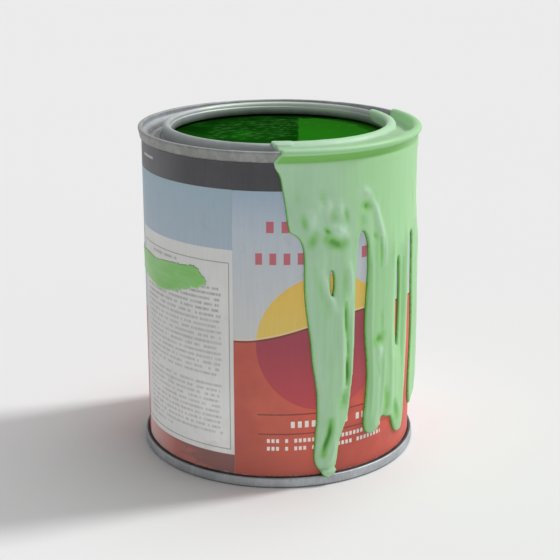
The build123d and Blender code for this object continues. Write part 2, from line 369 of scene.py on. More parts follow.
class Look:
    """A material whose base colour is built up in layers, and shorthand for its nodes."""

    def __init__(self, name):
        self.material = bpy.data.materials.new(name)
        self.material.use_nodes = True
        self.tree = self.material.node_tree
        self.tree.nodes.clear()
        out = self.tree.nodes.new("ShaderNodeOutputMaterial")
        self.shader = self.tree.nodes.new("ShaderNodeBsdfPrincipled")
        self.tree.links.new(self.shader.outputs[0], out.inputs[0])
        self.place = self.add("TexCoord", out="Object")

    def put(self, socket, value):
        if isinstance(value, Value):
            self.tree.links.new(value.socket, socket)
        else:
            socket.default_value = value

    def add(self, kind, inputs={}, out=0, **settings):
        """A new node's output."""
        node = self.tree.nodes.new("ShaderNode" + kind)
        for key, value in settings.items():
            setattr(node, key, value)
        for key, value in inputs.items():
            self.put(node.inputs[key], value)
        return Value(self, node.outputs[out])

    def set(self, **values):
        """Shader inputs, with _ for each space in a name."""
        for key, value in values.items():
            self.put(self.shader.inputs[key.replace("_", " ")], value)

    def finish(self, **values):
        self.set(Base_Color=self.colour, **values)
        return self.material

    def math(self, kind, first, second=None, clamp=False):
        inputs = {0: first} if second is None else {0: first, 1: second}
        return self.add("Math", inputs, operation=kind, use_clamp=clamp)

    def mix(self, share, first, second, how="MIX"):
        inputs = {0: share, 6: first, 7: second}
        return self.add("Mix", inputs, 2, data_type="RGBA", blend_type=how, clamp_factor=True)

    def lay(self, share, colour, how="MIX"):
        """A share of a colour over the layers so far."""
        self.colour = self.mix(share, self.colour, colour, how)

    def vector(self, x, y, z):
        return self.add("CombineXYZ", {0: x, 1: y, 2: z})

    @cached_property
    def axes(self):
        node = self.add("SeparateXYZ", {0: self.place}).socket.node
        return [Value(self, socket) for socket in node.outputs]

    @cached_property
    def height(self):
        """Height in mm."""
        return self.axes[2] * 1000

    def radius(self):
        """Distance from the tin's axis in mm."""
        x, y, _ = self.axes
        return (x * x + y * y).math("SQRT") * 1000

    def angle(self):
        """Angle round the tin from its front, in radians."""
        x, y, _ = self.axes
        return x.math("ARCTAN2", -y)

    def noise(self, scale=1, detail=2, rough=0.5, twist=0, at=None):
        inputs = {"Vector": at or self.place, "Scale": scale, "Detail": detail,
                  "Roughness": rough, "Distortion": twist}
        return self.add("TexNoise", inputs)

    def streaks(self, across, up, detail, rough, twist=0):
        """Noise with its own scale sideways and upwards."""
        x, y, z = self.axes
        place = self.vector(x * across, y * across, z * up)
        return self.noise(detail=detail, rough=rough, twist=twist, at=place)

    def random(self, x, y, z):
        return self.add("TexWhiteNoise", {"Vector": self.vector(x, y, z)}, "Value")

    def attribute(self, name):
        return self.add("Attribute", out="Fac", attribute_name=name)

    def bump(self, height, distance, strength, under=None):
        """Bumps; the distance is in metres, and under is a normal to add them to."""
        inputs = {"Strength": strength, "Distance": distance, "Height": height}
        if under is not None:
            inputs["Normal"] = under
        return self.add("Bump", inputs)


# ----------------------------------------------------------------- materials
def tinplate(name, dark, pale, rough, metal, soiled):
    """Worn tinplate: blotches, faint upright streaks, fine scratches, grime."""
    look = Look(name)
    blotch = look.noise(95, detail=5, rough=0.62, twist=0.4)
    streak = look.streaks(across=900, up=60, detail=3, rough=0.6)
    fine = look.noise(900, detail=3, rough=0.6)
    spangle_cells = {"Vector": look.place, "Scale": 260}
    spangle = look.add("TexVoronoi", spangle_cells, "Distance", feature="F1")
    share = (blotch * 0.68 + streak * 0.20 + fine * 0.12).ease(0.36, 0.64)
    look.colour = look.mix(share, dark, pale)
    grime = look.noise(34, detail=4, rough=0.7, twist=0.8).ease(0.53, 0.72, to=(0, soiled))
    look.lay(grime, srgb(92, 88, 82))
    specks = look.noise(620, detail=1, rough=0.5).ease(0.68, 0.76, to=(0, 0.30))
    look.lay(specks, srgb(70, 67, 62))
    uneven = (blotch * 0.6 + fine * 0.4).ramp(0.35, 0.65, to=(rough - 0.07, rough + 0.13))
    scratch = look.streaks(across=160, up=2600, detail=2, rough=0.7)
    relief = blotch * 0.5 + scratch * 0.14 + spangle * 0.10 + fine * 0.10
    look.set(Metallic=metal, Roughness=uneven + grime * 0.15,
             Normal=look.bump(relief, distance=0.00026, strength=0.4))
    return look


def ring_metal():
    look = tinplate("worn_tinplate_ring", srgb(118, 120, 120, 0.70), srgb(142, 145, 147, 0.70),
                    rough=0.56, metal=0.42, soiled=0.16)
    height, radius = look.height, look.radius()
    # painted shade, broken up by ragged noise, darkens the channel's corners, a line under the
    # rolled edge and the skirt's foot
    shaded_corners = (radius.band(45.4, 46.9, soft=0.6) * height.below(129.6, soft=3)).most(
        radius.band(50.2, 52.2, soft=1) * height.below(128.6, soft=1.6))
    edge = height.band(130.55, 130.95, soft=0.25) * radius.above(54.9, soft=0.1)
    foot = height.band(127, 127.75, soft=0.3) * radius.above(54.2, soft=0.1)
    ragged = look.noise(210, detail=3, rough=0.6).ramp(0.3, 0.6, to=(0.45, 1))
    look.lay((shaded_corners * 0.62 + edge * 0.35 + foot * 0.55) * ragged, srgb(58, 56, 54))
    # wet paint below is mirrored in the lid seat's wall
    seat_wall = radius.below(42.75, soft=0.3) * height.below(129, soft=2.2)
    look.lay(seat_wall * 0.72, srgb(28, 72, 26))
    # the seam's outer face is painted olive and dull, by an amount that changes round the side:
    # partly its own olive tone, partly painted shade, heaviest at the front left
    along = look.angle() * LABEL_RADIUS + LABEL_TURN
    olive_and_shade = (radius.above(54.15, soft=0.15) * height.below(131.25, soft=0.25)
            * along.ease(-30, 30, to=(0.56, 0.26)) * along.ease(-76, -50, to=(0.30, 1)))
    look.lay(olive_and_shade, srgb(108, 109, 101, 0.70))
    mottle = look.streaks(across=340, up=190, detail=3, rough=0.65).ease(0.42, 0.62)
    look.lay(mottle * radius.above(54.15, soft=0.15) * 0.30, srgb(152, 153, 149, 0.74))
    # painted light lightens the flare inside the seam to a bluish pale and the inner side of the
    # bead to a pale grey
    lit_flare = radius.band(47, 53.6, soft=0.8) * height.above(128.6, soft=1.2)
    look.lay(lit_flare * 0.30, srgb(168, 176, 183, 0.76))
    look.lay(radius.below(46.2, soft=0.3) * (1 - seat_wall) * 0.55, srgb(172, 178, 178, 0.80))
    # light thrown back off the wet paint lifts the far inner side of the bead
    x, y, _ = look.axes
    away = (x * math.sin(CAMERA_TURN) + y * math.cos(CAMERA_TURN)) * 1000
    lifted = radius.below(44, soft=0.6) * height.above(129.5, soft=0.9) * away.ease(22, 40)
    look.lay(lifted * 0.5, srgb(200, 216, 198, 0.86))
    # painted highlight along the crest of bead and rim, broken up by ragged noise
    crest = (height.above(132.15, soft=0.22) * radius.below(46, soft=1)).most(
        radius.band(54.2, 55.35, soft=0.5) * height.above(131.3, soft=0.2))
    look.lay(crest * 0.16 * ragged, srgb(196, 197, 198))
    return look.finish()


def end_metal():
    look = tinplate("worn_tinplate_end", srgb(146, 150, 153, 0.72), srgb(166, 171, 175, 0.72),
                    rough=0.50, metal=0.50, soiled=0.10)
    height, radius = look.height, look.radius()
    lines = look.vector(look.angle() * 60, height * 0.35, 0)
    streaks = look.noise(detail=4, rough=0.65, at=lines).ease(0.42, 0.66)
    look.lay(streaks * 0.15 * radius.above(53.6, soft=0.4), srgb(108, 110, 110))
    # painted shade: a dark line at the seam's foot, where it meets the floor, and along the seam's
    # top edge
    foot = height.below(0.55, soft=0.5) * radius.above(53, soft=0.5)
    roof = (height.above(3.72, soft=0.16) * radius.above(53.8, soft=0.2)
            * radius.below(55.45, soft=0.25))
    look.lay(foot * 0.62 + roof * 0.80, srgb(44, 36, 36))
    along = look.angle() * LABEL_RADIUS + LABEL_TURN
    shaded = (along.ease(6, -34) - along.ease(-96, -148)) * radius.above(53.6, soft=0.4)
    look.lay(shaded, (0.87, 0.86, 0.85, 1), "MULTIPLY")
    return look.finish()


def body_metal():
    look = tinplate("tinplate_body", srgb(120, 120, 118, 0.7), srgb(165, 165, 163, 0.7),
                    rough=0.36, metal=0.85, soiled=0.3)
    return look.finish()


def compound():
    look = Look("seam_compound")
    grain = look.noise(700, detail=4, rough=0.6)
    look.colour = look.mix(grain, srgb(60, 64, 60), srgb(96, 100, 92))
    return look.finish(Roughness=0.72, Normal=look.bump(grain, distance=0.0002, strength=0.5))


def paste():
    look = Look("label_paste")
    drag = look.streaks(across=300, up=90, detail=3, rough=0.6)
    look.colour = look.mix(drag, srgb(196, 186, 160), srgb(222, 214, 192))
    return look.finish(Roughness=drag.ramp(0.3, 0.7, to=(0.45, 0.7)),
                       Normal=look.bump(drag, distance=0.0002, strength=0.4))


# ------------------------------------------------------------ printed paper
ink = partial(srgb, light=0.70)
HEADING_RED = ink(166, 62, 74)
PRINT_GREY = ink(112, 112, 110)
LAP_EDGE = -17.3     # the outer end of the sheet, along the side
PANEL_LEFT = -73
BAND_FOOT = 116.8    # the charcoal band's lower edge
PRINT_FOOT, PRINT_PITCH = 17.1, 2.15  # the rows of small print


def small_print(look, along, height, shown, seed):
    """Rows of broken bars that stand for small print: 1 on a bar and 0 off it."""
    place = (height - PRINT_FOOT) / PRINT_PITCH
    row = place.math("FLOOR")
    tall = place.math("FRACT").band(0.26, 0.72, soft=0.24)
    column = (along / 0.95 + look.random(row, seed, 3) * 7).math("FLOOR")
    word = look.random(column, row, seed).above(0.17, soft=0.01)
    grain = look.random((along / 0.62).math("FLOOR"), row, seed + 5)
    return tall * word * shown * grain.ramp(0, 1, to=(0.45, 1))


def blocks(look, along, height, rows, span, pitch, fill, seed):
    """A row of plain upright blocks with a word gap here and there."""
    place = (along - span[0]) / pitch
    number = place.math("FLOOR")
    part = place.math("FRACT").band(0.06, fill, soft=0.05)
    shown = part * look.random(number, seed, 1).above(0.10, soft=0.01)
    return height.band(*rows, soft=0.16) * along.band(*span, soft=0.2) * shown


def paper_scene(look, along, height, front, drift):
    """Sky, ground and a two-tone disc."""
    # round the back the right-hand colours pass slowly into the left-hand ones
    behind = along.ease(150, 187)
    low_sky = look.mix(height.ramp(65, 100), ink(177, 178, 178), ink(161, 170, 178))
    right_sky = look.mix(height.ramp(100, BAND_FOOT), low_sky, ink(138, 155, 171))
    left_sky = look.mix(height.ramp(94, BAND_FOOT), ink(146, 159, 170), ink(136, 155, 166))
    look.colour = look.mix(front * (1 - behind), left_sky, right_sky)

    # ground under a gentle horizon
    horizon = (59 + along.ease(LAP_EDGE, 36, to=(0, 10)) - along.ease(36, 110, to=(0, 7))
               + along.ease(-150, -60, to=(3, 0)))
    ground = height.below(horizon, soft=0.25)
    right_share = along.ease(-17, 40) * (1 - behind)
    earth = look.mix(right_share, ink(172, 84, 68), ink(192, 80, 64))
    earth = look.mix(drift.ease(0.42, 0.68, to=(0, 0.55)), earth, ink(150, 66, 58))
    slope = along.ease(-60, 60, to=(-15, 15)) + along.ease(-100, -150, to=(0, 30))
    low_share = (height + slope).ease(2, 26, to=(0.45, 0))
    earth = look.mix(low_share, earth, ink(128, 64, 56))
    far_share = along.ease(52, 74, to=(0, 0.5)) * (1 - behind)
    earth = look.mix(far_share, earth, ink(196, 90, 74))
    look.lay(ground, earth)

    # disc of radius 26.8, cut in two by the horizon
    across, up = along - 18.3, height - 57.8
    disc = (across * across + up * up).math("SQRT").below(26.8, soft=0.25)
    upper = look.mix(up.ramp(4, 26), ink(196, 172, 88), ink(200, 164, 74))
    lower = look.mix(up.ramp(-27, 0), ink(168, 62, 68), ink(142, 58, 70))
    look.lay(disc, look.mix(ground, upper, lower))

    # a pale and a dark line along the horizon
    lines = along.band(LAP_EDGE, 98, soft=0.2)
    pale_line = height.band(horizon + 0.05, horizon + 0.75, soft=0.2)
    look.lay(pale_line * lines * 0.55, ink(206, 186, 150))
    dark_line = height.band(horizon - 0.75, horizon + 0.05, soft=0.2)
    look.lay(dark_line * lines * 0.75, ink(92, 54, 50))


def front_print(look, along, height):
    """Heading blocks, rules and pale blocks on the front."""
    row = partial(blocks, look, along, height)
    head = row((101.3, 105.6), (-4.9, 42), pitch=5.6, fill=0.56, seed=2).most(
        row((89.2, 93.6), (-8.9, 45.5), pitch=5.2, fill=0.54, seed=7))
    look.lay(head * 0.85, HEADING_RED)
    rules = height.band(29.5, 30.05, soft=0.16).most(height.band(21.5, 22, soft=0.16))
    look.lay(rules * along.band(-8, 44, soft=0.2) * 0.75, ink(84, 44, 42))
    pale = row((24.3, 26.9), (4.5, 35), pitch=2.7, fill=0.62, seed=4).most(
        row((18.2, 19.8), (-4.6, 45), pitch=1.75, fill=0.70, seed=9).most(
            row((15, 16.6), (-4.6, 45), pitch=1.75, fill=0.70, seed=12)))
    look.lay(pale * 0.85, ink(226, 216, 208))


def left_panel(look, along, height, left, drift, rows):
    """Framed panel of small print left of the overlap, and the ground below it."""
    panel = along.band(PANEL_LEFT, LAP_EDGE, soft=0.1) * height.band(12, 94, soft=0.15) * left
    look.lay(panel, look.mix(drift.ramp(0.35, 0.65), ink(187, 187, 185), ink(193, 193, 191)))
    outside = (along + 18.9).most(-70.6 - along).most((height - 89).most(14.1 - height))
    look.lay(outside.band(-0.22, 0.16, soft=0.14) * left * 0.75, ink(104, 112, 102))
    row_end = -21.8 - look.random(rows, 11, 0) * 1.6
    for row, cut in ((12, 1.5), (11, 36), (0, 24)):  # rows that stop short, and by how much
        row_end = row_end - rows.band(row - 0.5, row + 0.5, soft=0.01) * cut
    body = height.band(17.2, 79.4, soft=0.05) * along.band(-67, row_end, soft=0.15)
    title = height.band(85.9, 88, soft=0.05) * along.band(-60, -43, soft=0.15)
    text = small_print(look, along, height, body.most(title) * left, seed=1)
    look.lay(text * height.ramp(62, 70, to=(0.50, 0.66)), PRINT_GREY)

    under = height.below(12, soft=0.15) * along.band(PANEL_LEFT, LAP_EDGE, soft=0.1)
    strip = look.mix(along.ramp(-72, -46), ink(192, 162, 158), ink(152, 92, 85))
    place = look.vector(along * 0.10, height * 0.35, 5)
    brushed = look.noise(detail=4, rough=0.6, twist=0.8, at=place)
    dark = (along + height * 1.6 + brushed.ramp(0.3, 0.7, to=(-7, 7))).ease(-34, -16)
    look.lay(under, look.mix(dark * 0.85, strip, ink(108, 78, 75)))


def far_panel(look, along, height, rows):
    """Framed panel on the far side: heading, six plain swatches, small print."""
    panel = along.band(104, 166, soft=0.1) * height.band(14, 106, soft=0.15)
    look.lay(panel, ink(196, 194, 188))
    outside = (along - 163.6).most(106.4 - along).most((height - 103.6).most(16.4 - height))
    look.lay(outside.band(-0.24, 0.16, soft=0.14) * 0.5, ink(112, 128, 116))
    heading = height.band(94, 98.6, soft=0.16) * along.band(111, 147, soft=0.2)
    look.lay(heading * 0.9, HEADING_RED)
    column, line = (along - 111) / 16.4, (height - 62) / 13.6
    swatch = (column.math("FRACT").band(0, 0.80, soft=0.02)
              * line.math("FRACT").band(0, 0.78, soft=0.02)
              * along.band(111, 159, soft=0.1) * height.band(62, 88.6, soft=0.1))
    hue = look.random(column.math("FLOOR"), line.math("FLOOR"), 3)
    tint = ink(196, 172, 88)
    for limit, colour in ((0.35, ink(168, 84, 70)), (0.62, ink(122, 146, 162)),
                          (0.84, ink(120, 160, 112))):
        tint = look.mix(hue.above(limit, soft=0.01), tint, colour)
    look.lay(swatch, tint)
    row_end = 158 - look.random(rows, 17, 0) * 5
    shown = height.band(21, 55, soft=0.05) * along.band(111, row_end, soft=0.15)
    look.lay(small_print(look, along, height, shown, seed=21) * 0.62, PRINT_GREY)


def top_band(look, along, height, drift):
    """Charcoal band round the top, with one plain pale bar; gives the band's mask."""
    top = height.above(BAND_FOOT, soft=0.18)
    coal = look.mix(drift.ramp(0.3, 0.7), ink(54, 54, 57), ink(62, 62, 65))
    # painted sheen: the band is lightened towards the left
    paler = along.ease(-32, -66, to=(0, 0.9)) - along.ease(-100, -148, to=(0, 0.9))
    coal = look.mix(paler, coal, ink(76, 77, 79))
    palest = along.ease(-30, -72, to=(0, 0.66)) * along.ease(-150, -90)
    look.lay(top, look.mix(palest, coal, ink(92, 92, 95)))
    bar = height.band(122.4, 123.4, soft=0.16) * along.band(-69, -58.5, soft=0.2)
    look.lay(bar * 0.60, ink(186, 186, 186))
    return top


def paper_wear(look, along, height, top):
    """Cut edge of the overlap, scuffs, stains, painted light low on the left, and darker low on
    the right.
    """
    cut_edge = along.band(-17.40, -17.10, soft=0.12)
    look.lay(cut_edge * 0.22 * (1 - top), ink(206, 204, 198))
    place = look.vector(along * 1.1, height * 0.045, 4)
    grain = look.noise(detail=4, rough=0.6, at=place)
    look.lay(grain.ramp(0.32, 0.70, to=(0, 0.09)), look.vector(0.16, 0.16, 0.16))
    stain = look.streaks(across=90, up=90, detail=5, rough=0.65, twist=0.6)
    look.lay(stain.ease(0.55, 0.78, to=(0, 0.22)), ink(120, 108, 92))
    place = look.vector(along * 0.9, height * 0.22, 7)
    scuff = look.noise(detail=6, rough=0.75, twist=1.2, at=place)
    look.lay(scuff.ease(0.685, 0.75, to=(0, 0.30)), ink(206, 202, 194))
    place = look.vector(along * 0.5, height * 0.5, 1)
    patches = look.noise(detail=5, rough=0.7, at=place).ramp(0.48, 0.66, to=(0, 0.35))
    look.lay(height.below(4.65, soft=0.5) * patches, ink(196, 190, 180))
    # painted light lifts the label low on the left, where it faces the floor's shadow; darker low
    # on the right
    lifted_low_left = height.ease(66, 14) * (
        along.ease(-8, -26, to=(0.35, 1)) - along.ease(-100, -148, to=(0, 0.65)))
    look.lay(lifted_low_left, (1.26, 1.26, 1.27, 1), "MULTIPLY")
    darker_low_right = height.ease(34, 18) * (along.ease(14, 34) - along.ease(110, 150))
    look.lay(darker_low_right, (0.83, 0.86, 0.88, 1), "MULTIPLY")


def printed_paper():
    look = Look("printed_paper")
    along, height = look.angle() * LABEL_RADIUS + LABEL_TURN, look.height
    front = along.above(LAP_EDGE, soft=0.06)
    drift = look.streaks(across=45, up=50, detail=3, rough=0.55)
    rows = ((height - PRINT_FOOT) / PRINT_PITCH).math("FLOOR")
    paper_scene(look, along, height, front, drift)
    front_print(look, along, height)
    left_panel(look, along, height, 1 - front, drift, rows)
    far_panel(look, along, height, rows)
    paper_wear(look, along, height, top_band(look, along, height, drift))
    pulp = look.noise(2600, detail=3, rough=0.6)
    wave = look.streaks(across=60, up=22, detail=3, rough=0.5)
    fibre = look.bump(pulp, distance=0.00006, strength=0.5)
    return look.finish(
        Roughness=(pulp * 0.5 + wave * 0.5).ramp(0.35, 0.65, to=(0.42, 0.60)),
        Specular_IOR_Level=0.38,
        Normal=look.bump(wave, distance=0.0006, strength=0.35, under=fibre))


# ---------------------------------------------------------- paint materials
def wet_paint():
    """Deep green liquid, glossy, with paler patches, the large one a painted reflection, and
    strings of small bubbles.
    """
    look = Look("wet_paint")
    swirl = look.noise(55, detail=3, rough=0.5, twist=1.2)
    look.colour = look.mix(swirl.ease(0.35, 0.68), srgb(6, 40, 4, 0.55), srgb(13, 58, 9, 0.55))
    # paler patches; the large one is a painted reflection
    look.lay(look.attribute("pale_patch"), srgb(30, 94, 17, 0.50))
    look.lay(look.attribute("froth"), srgb(70, 128, 60, 0.55))
    dimples = look.noise(160, detail=2, rough=0.5)
    return look.finish(
        Metallic=0.30, Roughness=swirl.ramp(0.3, 0.7, to=(0.10, 0.20)),
        Specular_IOR_Level=0, Specular_Tint=srgb(60, 170, 50),
        Normal=look.bump(dimples, distance=0.0004, strength=0.25))


def skinned_paint():
    """Pale green paint, drying: glossy, with painted shade deepening it in folds and on
    left-facing edges, and painted highlights on crests.
    """
    look = Look("skinned_paint")
    green = partial(srgb, light=0.80)
    hollow = look.attribute("hollow")
    soft = look.streaks(across=70, up=26, detail=3, rough=0.5)
    along = look.angle() * PAINT_RADIUS + PAINT_TURN
    height, radius = look.height, look.radius()
    look.colour = look.mix(soft.ease(0.36, 0.64), green(152, 188, 155), green(159, 196, 161))
    right = (along + soft.ramp(0.3, 0.7, to=(-5, 5))).ease(12, 44, to=(0, 0.9))
    look.lay(right, green(150, 198, 142))
    place = look.vector(along * 0.55, height * 0.035, 3)
    drawn = look.noise(detail=3, rough=0.55, at=place)
    low_down = height.ease(112, 84, to=(0.35, 1))
    look.lay(drawn.ease(0.42, 0.66, to=(0, 0.34)) * low_down, green(134, 184, 126))
    look.lay(drawn.ease(0.30, 0.46, to=(0.26, 0)) * low_down, green(166, 196, 170))
    second_run = along.band(34, 50, soft=3) * height.ease(100, 84, to=(0, 0.55))
    look.lay(second_run, green(136, 182, 132))
    # deeper where it wraps the rim; greyer in the dip between bead and rim, a painted shade
    rim = radius.band(53.4, 57, soft=0.8) * height.above(129.9, soft=0.8)
    look.lay(rim * 0.55, green(136, 184, 132))
    dip = radius.band(46.6, 51.8, soft=0.8) * height.above(127.5, soft=0.5)
    look.lay(dip * 0.55, green(132, 156, 132))
    look.lay(radius.below(46.6, soft=0.6) * 0.6, green(162, 194, 168))
    # painted highlight: pale green on the ridges' crests
    look.lay(look.attribute("crest") * 0.86, srgb(180, 214, 186, 0.88))
    # painted shade: deep green in the recess under the rim's lip
    look.lay(look.attribute("neck"), green(106, 168, 78))
    # painted shade: deeper green in folds and along the left-facing edges
    look.lay(hollow.ramp(0.04, 0.66), green(110, 176, 84))
    look.lay(hollow.ramp(0.60, 1), green(44, 112, 38))
    fine = look.streaks(across=420, up=110, detail=2, rough=0.5)
    grain = look.bump(fine, distance=0.00012, strength=0.35)
    return look.finish(
        Roughness=(soft * 0.6 + fine * 0.4).ramp(0.35, 0.65, to=(0.42, 0.56)),
        Specular_IOR_Level=0.45, Coat_Weight=0.06, Coat_Roughness=0.35,
        Normal=look.bump(soft, distance=0.0006, strength=0.3, under=grain))


def brushed_paint():
    look = Look("brushed_paint")
    arc = look.angle() * LABEL_RADIUS
    place = look.vector(arc * 0.06, look.height * 2.6, 0)
    hair = look.noise(detail=3, rough=0.6, at=place)
    place = look.vector(arc * 0.10, look.height * 0.22, 3)
    slow = look.noise(detail=3, rough=0.5, at=place)
    share = (slow * 0.75 + hair * 0.25).ease(0.36, 0.64)
    look.colour = look.mix(share, srgb(107, 164, 85, 0.72), srgb(119, 172, 101, 0.72))
    look.lay(arc.ease(-53, -47.5, to=(0, 0.6)), srgb(110, 172, 74, 0.72))
    look.lay(look.attribute("thin"), srgb(158, 192, 146, 0.74))
    return look.finish(Roughness=hair.ramp(0.3, 0.7, to=(0.34, 0.5)), Specular_IOR_Level=0.4,
                       Normal=look.bump(hair, distance=0.0001, strength=0.3))


def floor_look():
    look = Look("studio_floor")
    cloud = look.noise(3, detail=2, rough=0.5)
    look.colour = look.mix(cloud, (0.797, 0.797, 0.797, 1), (0.803, 0.803, 0.803, 1))
    return look.finish(Roughness=0.9, Specular_IOR_Level=0)


# ---------------------------------------------------------------- metal rings
# Middle line of the metal, as (radius, height), with a radius for each inner corner.
RING_POINTS = [  # from the lid seat over the bead, through the channel and over the rolled rim
    (43.15, 128.35), (43.15, 127.43), (42.53, 127.43), (42.53, 130.30), (42.93, 130.75),
    (42.93, 132.17), (45.47, 132.17), (45.47, 126.98), (51.35, 126.98), (53.68, 129.60),
    (53.90, 131.37), (55.40, 131.37), (54.57, 127.56), (54.24, 127.56), (54.32, 129.70),
]
RING_RADII = [0.30, 0.30, 0.40, 0.40, 1.26, 1.26, 0.50, 0.35, 1.20, 0.45, 0.45, 0.16, 0.16]
END_POINTS = [  # from the middle over two ridges, then round the bottom seam
    (0, 3), (14, 3), (15.2, 3.7), (19, 3.7), (20.2, 3), (33, 3), (34.2, 3.7), (38, 3.7),
    (39.2, 3), (50.2, 3), (51.4, 4.20), (53.55, 4.20), (53.55, 0.14), (55.80, 0.14),
    (55.91, 1.50), (55.74, 3.86), (54.40, 3.86), (54.40, 1.45),
]
END_RADII = [0.6] * 10 + [0.55, 0.45, 0.62, 3.0, 0.62, 0.50]
DENTS = ((0.13, 5.55, 0.035), (0.10, 4.4, 0.05), (0.12, 3.2, 0.03), (0.09, 2.35, 0.04))
# depth, angle and half width in radians


def ring_shape(radius, z, angle):
    """Slight unevenness left by rolling and by years of prising the lid."""
    lip = np.clip((radius - 50) / 4, 0, 1) * np.clip((z - 127.4) / 3, 0, 1)
    low = (0.035 * np.sin(3 * angle + 0.7) + 0.022 * np.sin(7 * angle + 2)
           + 0.012 * np.sin(19 * angle))
    dent = 0
    for depth, at, half in DENTS:
        off = (angle - at + math.pi) % (2 * math.pi) - math.pi
        dent = dent - depth * np.exp(-((off / half) ** 2))
    bead = np.clip(z - 130.8, 0, 1) * (radius < 46.5)
    lift = low * lip + dent * lip * 0.8 + bead * (0.02 * np.sin(4 * angle + 1) + dent * 0.3)
    return radius + 0.02 * np.sin(5 * angle) * lip, z + lift


def lever_ring():
    path = resampled(rounded(RING_POINTS, RING_RADII, step=12), 1.0)
    return lathe("lever_ring", sheet_section(path, 0.13), 300, ring_shape, closed=True)


def end_shape(radius, z, angle):
    """Faint ripples of the seaming rolls on the outer face of the seam."""
    face = np.clip((radius - 55) / 0.6, 0, 1) * np.clip(z / 0.8, 0, 1)
    ripple = (0.012 * np.sin(58 * angle) + 0.018 * np.sin(11 * angle + 1.3)
              + 0.02 * np.sin(5 * angle))
    return radius + ripple * face, z


def seamed_end():
    path = resampled(rounded(END_POINTS, END_RADII, step=14), 2.5)
    return lathe("seamed_end", sheet_section(path, 0.14, open_start=True), 300, end_shape)


# --------------------------------------------------------------------- label
LAP = -37.4         # the sheet's outer end, degrees round from the front
SHEET_TURN = 368.1  # degrees, so the two ends overlap
SHEET_LOW, SHEET_HIGH, SHEET_GAUGE = 4.25, 127.20, 0.12
SHEET_INNER = 54.03


def paper_label():
    """One sheet round the body; its outer end climbs over its inner end."""
    end = LAP + SHEET_TURN
    starts = LAP + np.array([0, 0.12, 0.3, 0.6, 1, 1.6, 2.4])
    turns = np.concatenate([starts, np.arange(LAP + 3.4, end, 1.0), [end]])
    heights = np.concatenate([
        SHEET_LOW + np.array([0, 0.15, 0.5]),
        np.linspace(SHEET_LOW + 1.4, SHEET_HIGH - 1.4, 74),
        SHEET_HIGH - np.array([0.5, 0.15, 0])])
    turn, z = np.meshgrid(turns, heights, indexing="ij")
    inner = SHEET_INNER + 0.19 * (1 - smooth_step(turn, LAP + 8.5, LAP + 11.5))
    # the free end lifts a little here and there, and the cut edges wave
    near_end = np.exp(-((turn - LAP) / 1.5) ** 2)
    lift = 0.05
    for high, at, half in ((0.13, 112, 7), (0.16, 9, 5), (0.07, 47, 9)):
        lift = lift + high * np.exp(-((z - at) / half) ** 2)
    ripple = [[noise_at(math.sin(math.radians(at)) * 3, math.cos(math.radians(at)) * 3, up * 0.06)
               for up in heights] for at in turns]
    cut = sum(np.exp(-((z - at) / 1.2) ** 2) for at in (SHEET_HIGH, SHEET_LOW))
    edge = 0.03 * cut * (0.5 + 0.5 * np.sin(np.radians(turn) * 23 + 1)) * (1 - near_end)
    radius = inner + near_end * lift + 0.012 * np.clip(ripple, 0, 1) + edge
    sides = [around(r, np.radians(turn), z).reshape(-1, 3)
             for r in (radius, radius + SHEET_GAUGE)]

    columns, rows = turn.shape
    outer = columns * rows  # number of the outer side's first point
    i, j = np.meshgrid(np.arange(columns - 1), np.arange(rows - 1), indexing="ij")
    first = i * rows + j
    quads = np.stack([first, first + rows, first + rows + 1, first + 1], -1).reshape(-1, 4)
    faces = quads[:, ::-1].tolist() + (quads + outer).tolist()
    rim = [k * rows for k in range(columns)]
    rim += [(columns - 1) * rows + k for k in range(1, rows)]
    rim += [k * rows + rows - 1 for k in range(columns - 2, -1, -1)]
    rim += list(range(rows - 2, 0, -1))
    faces += [(a, b, b + outer, a + outer) for a, b in zip(rim, rim[1:] + rim[:1])]
    obj = add_mesh("paper_label", np.concatenate(sides), faces)
    obj.data.set_sharp_from_angle(angle=math.radians(50))
    return obj


# ------------------------------------------------------------- paint in the tin
LEVEL = 126.5
LIQUID_RADIUS = 53.6
LIQUID_UNDER = [  # (radius, height) over the metal end's ridges, towards the axis
    (LIQUID_RADIUS, 4.42), (50.7, 4.42), (49.4, 3.20), (39.8, 3.20), (38.6, 3.90), (33.6, 3.90),
    (32.4, 3.20), (20.8, 3.20), (19.6, 3.90), (14.6, 3.90), (13.4, 3.20), (0, 3.20),
]


def bubble_spots():
    """Bubbles as (x, y, width, height): loose arcs, as stirring leaves them, and scattered."""
    rng = np.random.default_rng(7)
    cos, sin = math.cos(CAMERA_TURN), math.sin(CAMERA_TURN)
    spots = []
    for arc in range(9):
        reach = 13.0 + arc * 4.3
        for k in range(int(reach * 1.9 / 2.5)):
            turn = 1.35 + k * 2.5 / reach + rng.normal(0, 0.45) / reach
            far = reach + rng.normal(0, 0.55)
            # across and away as seen from the camera
            across, away = 6 + far * math.cos(turn), -14 + far * math.sin(turn)
            width, high = rng.uniform(0.80, 1.35), rng.uniform(0.09, 0.27)
            if not (-27 < across < 8 and -7 < away < 35) or rng.uniform() < 0.14:
                continue
            spots.append((across * cos + away * sin, -across * sin + away * cos, width, high))
    for _ in range(70):
        angle, radius = rng.uniform(0, 2 * math.pi), 40.5 * math.sqrt(rng.uniform(0, 1))
        x, y = radius * math.sin(angle), -radius * math.cos(angle)
        spots.append((x, y, rng.uniform(0.4, 0.9), rng.uniform(0.06, 0.2)))
    return [spot for spot in spots if math.hypot(spot[0], spot[1]) < 41]


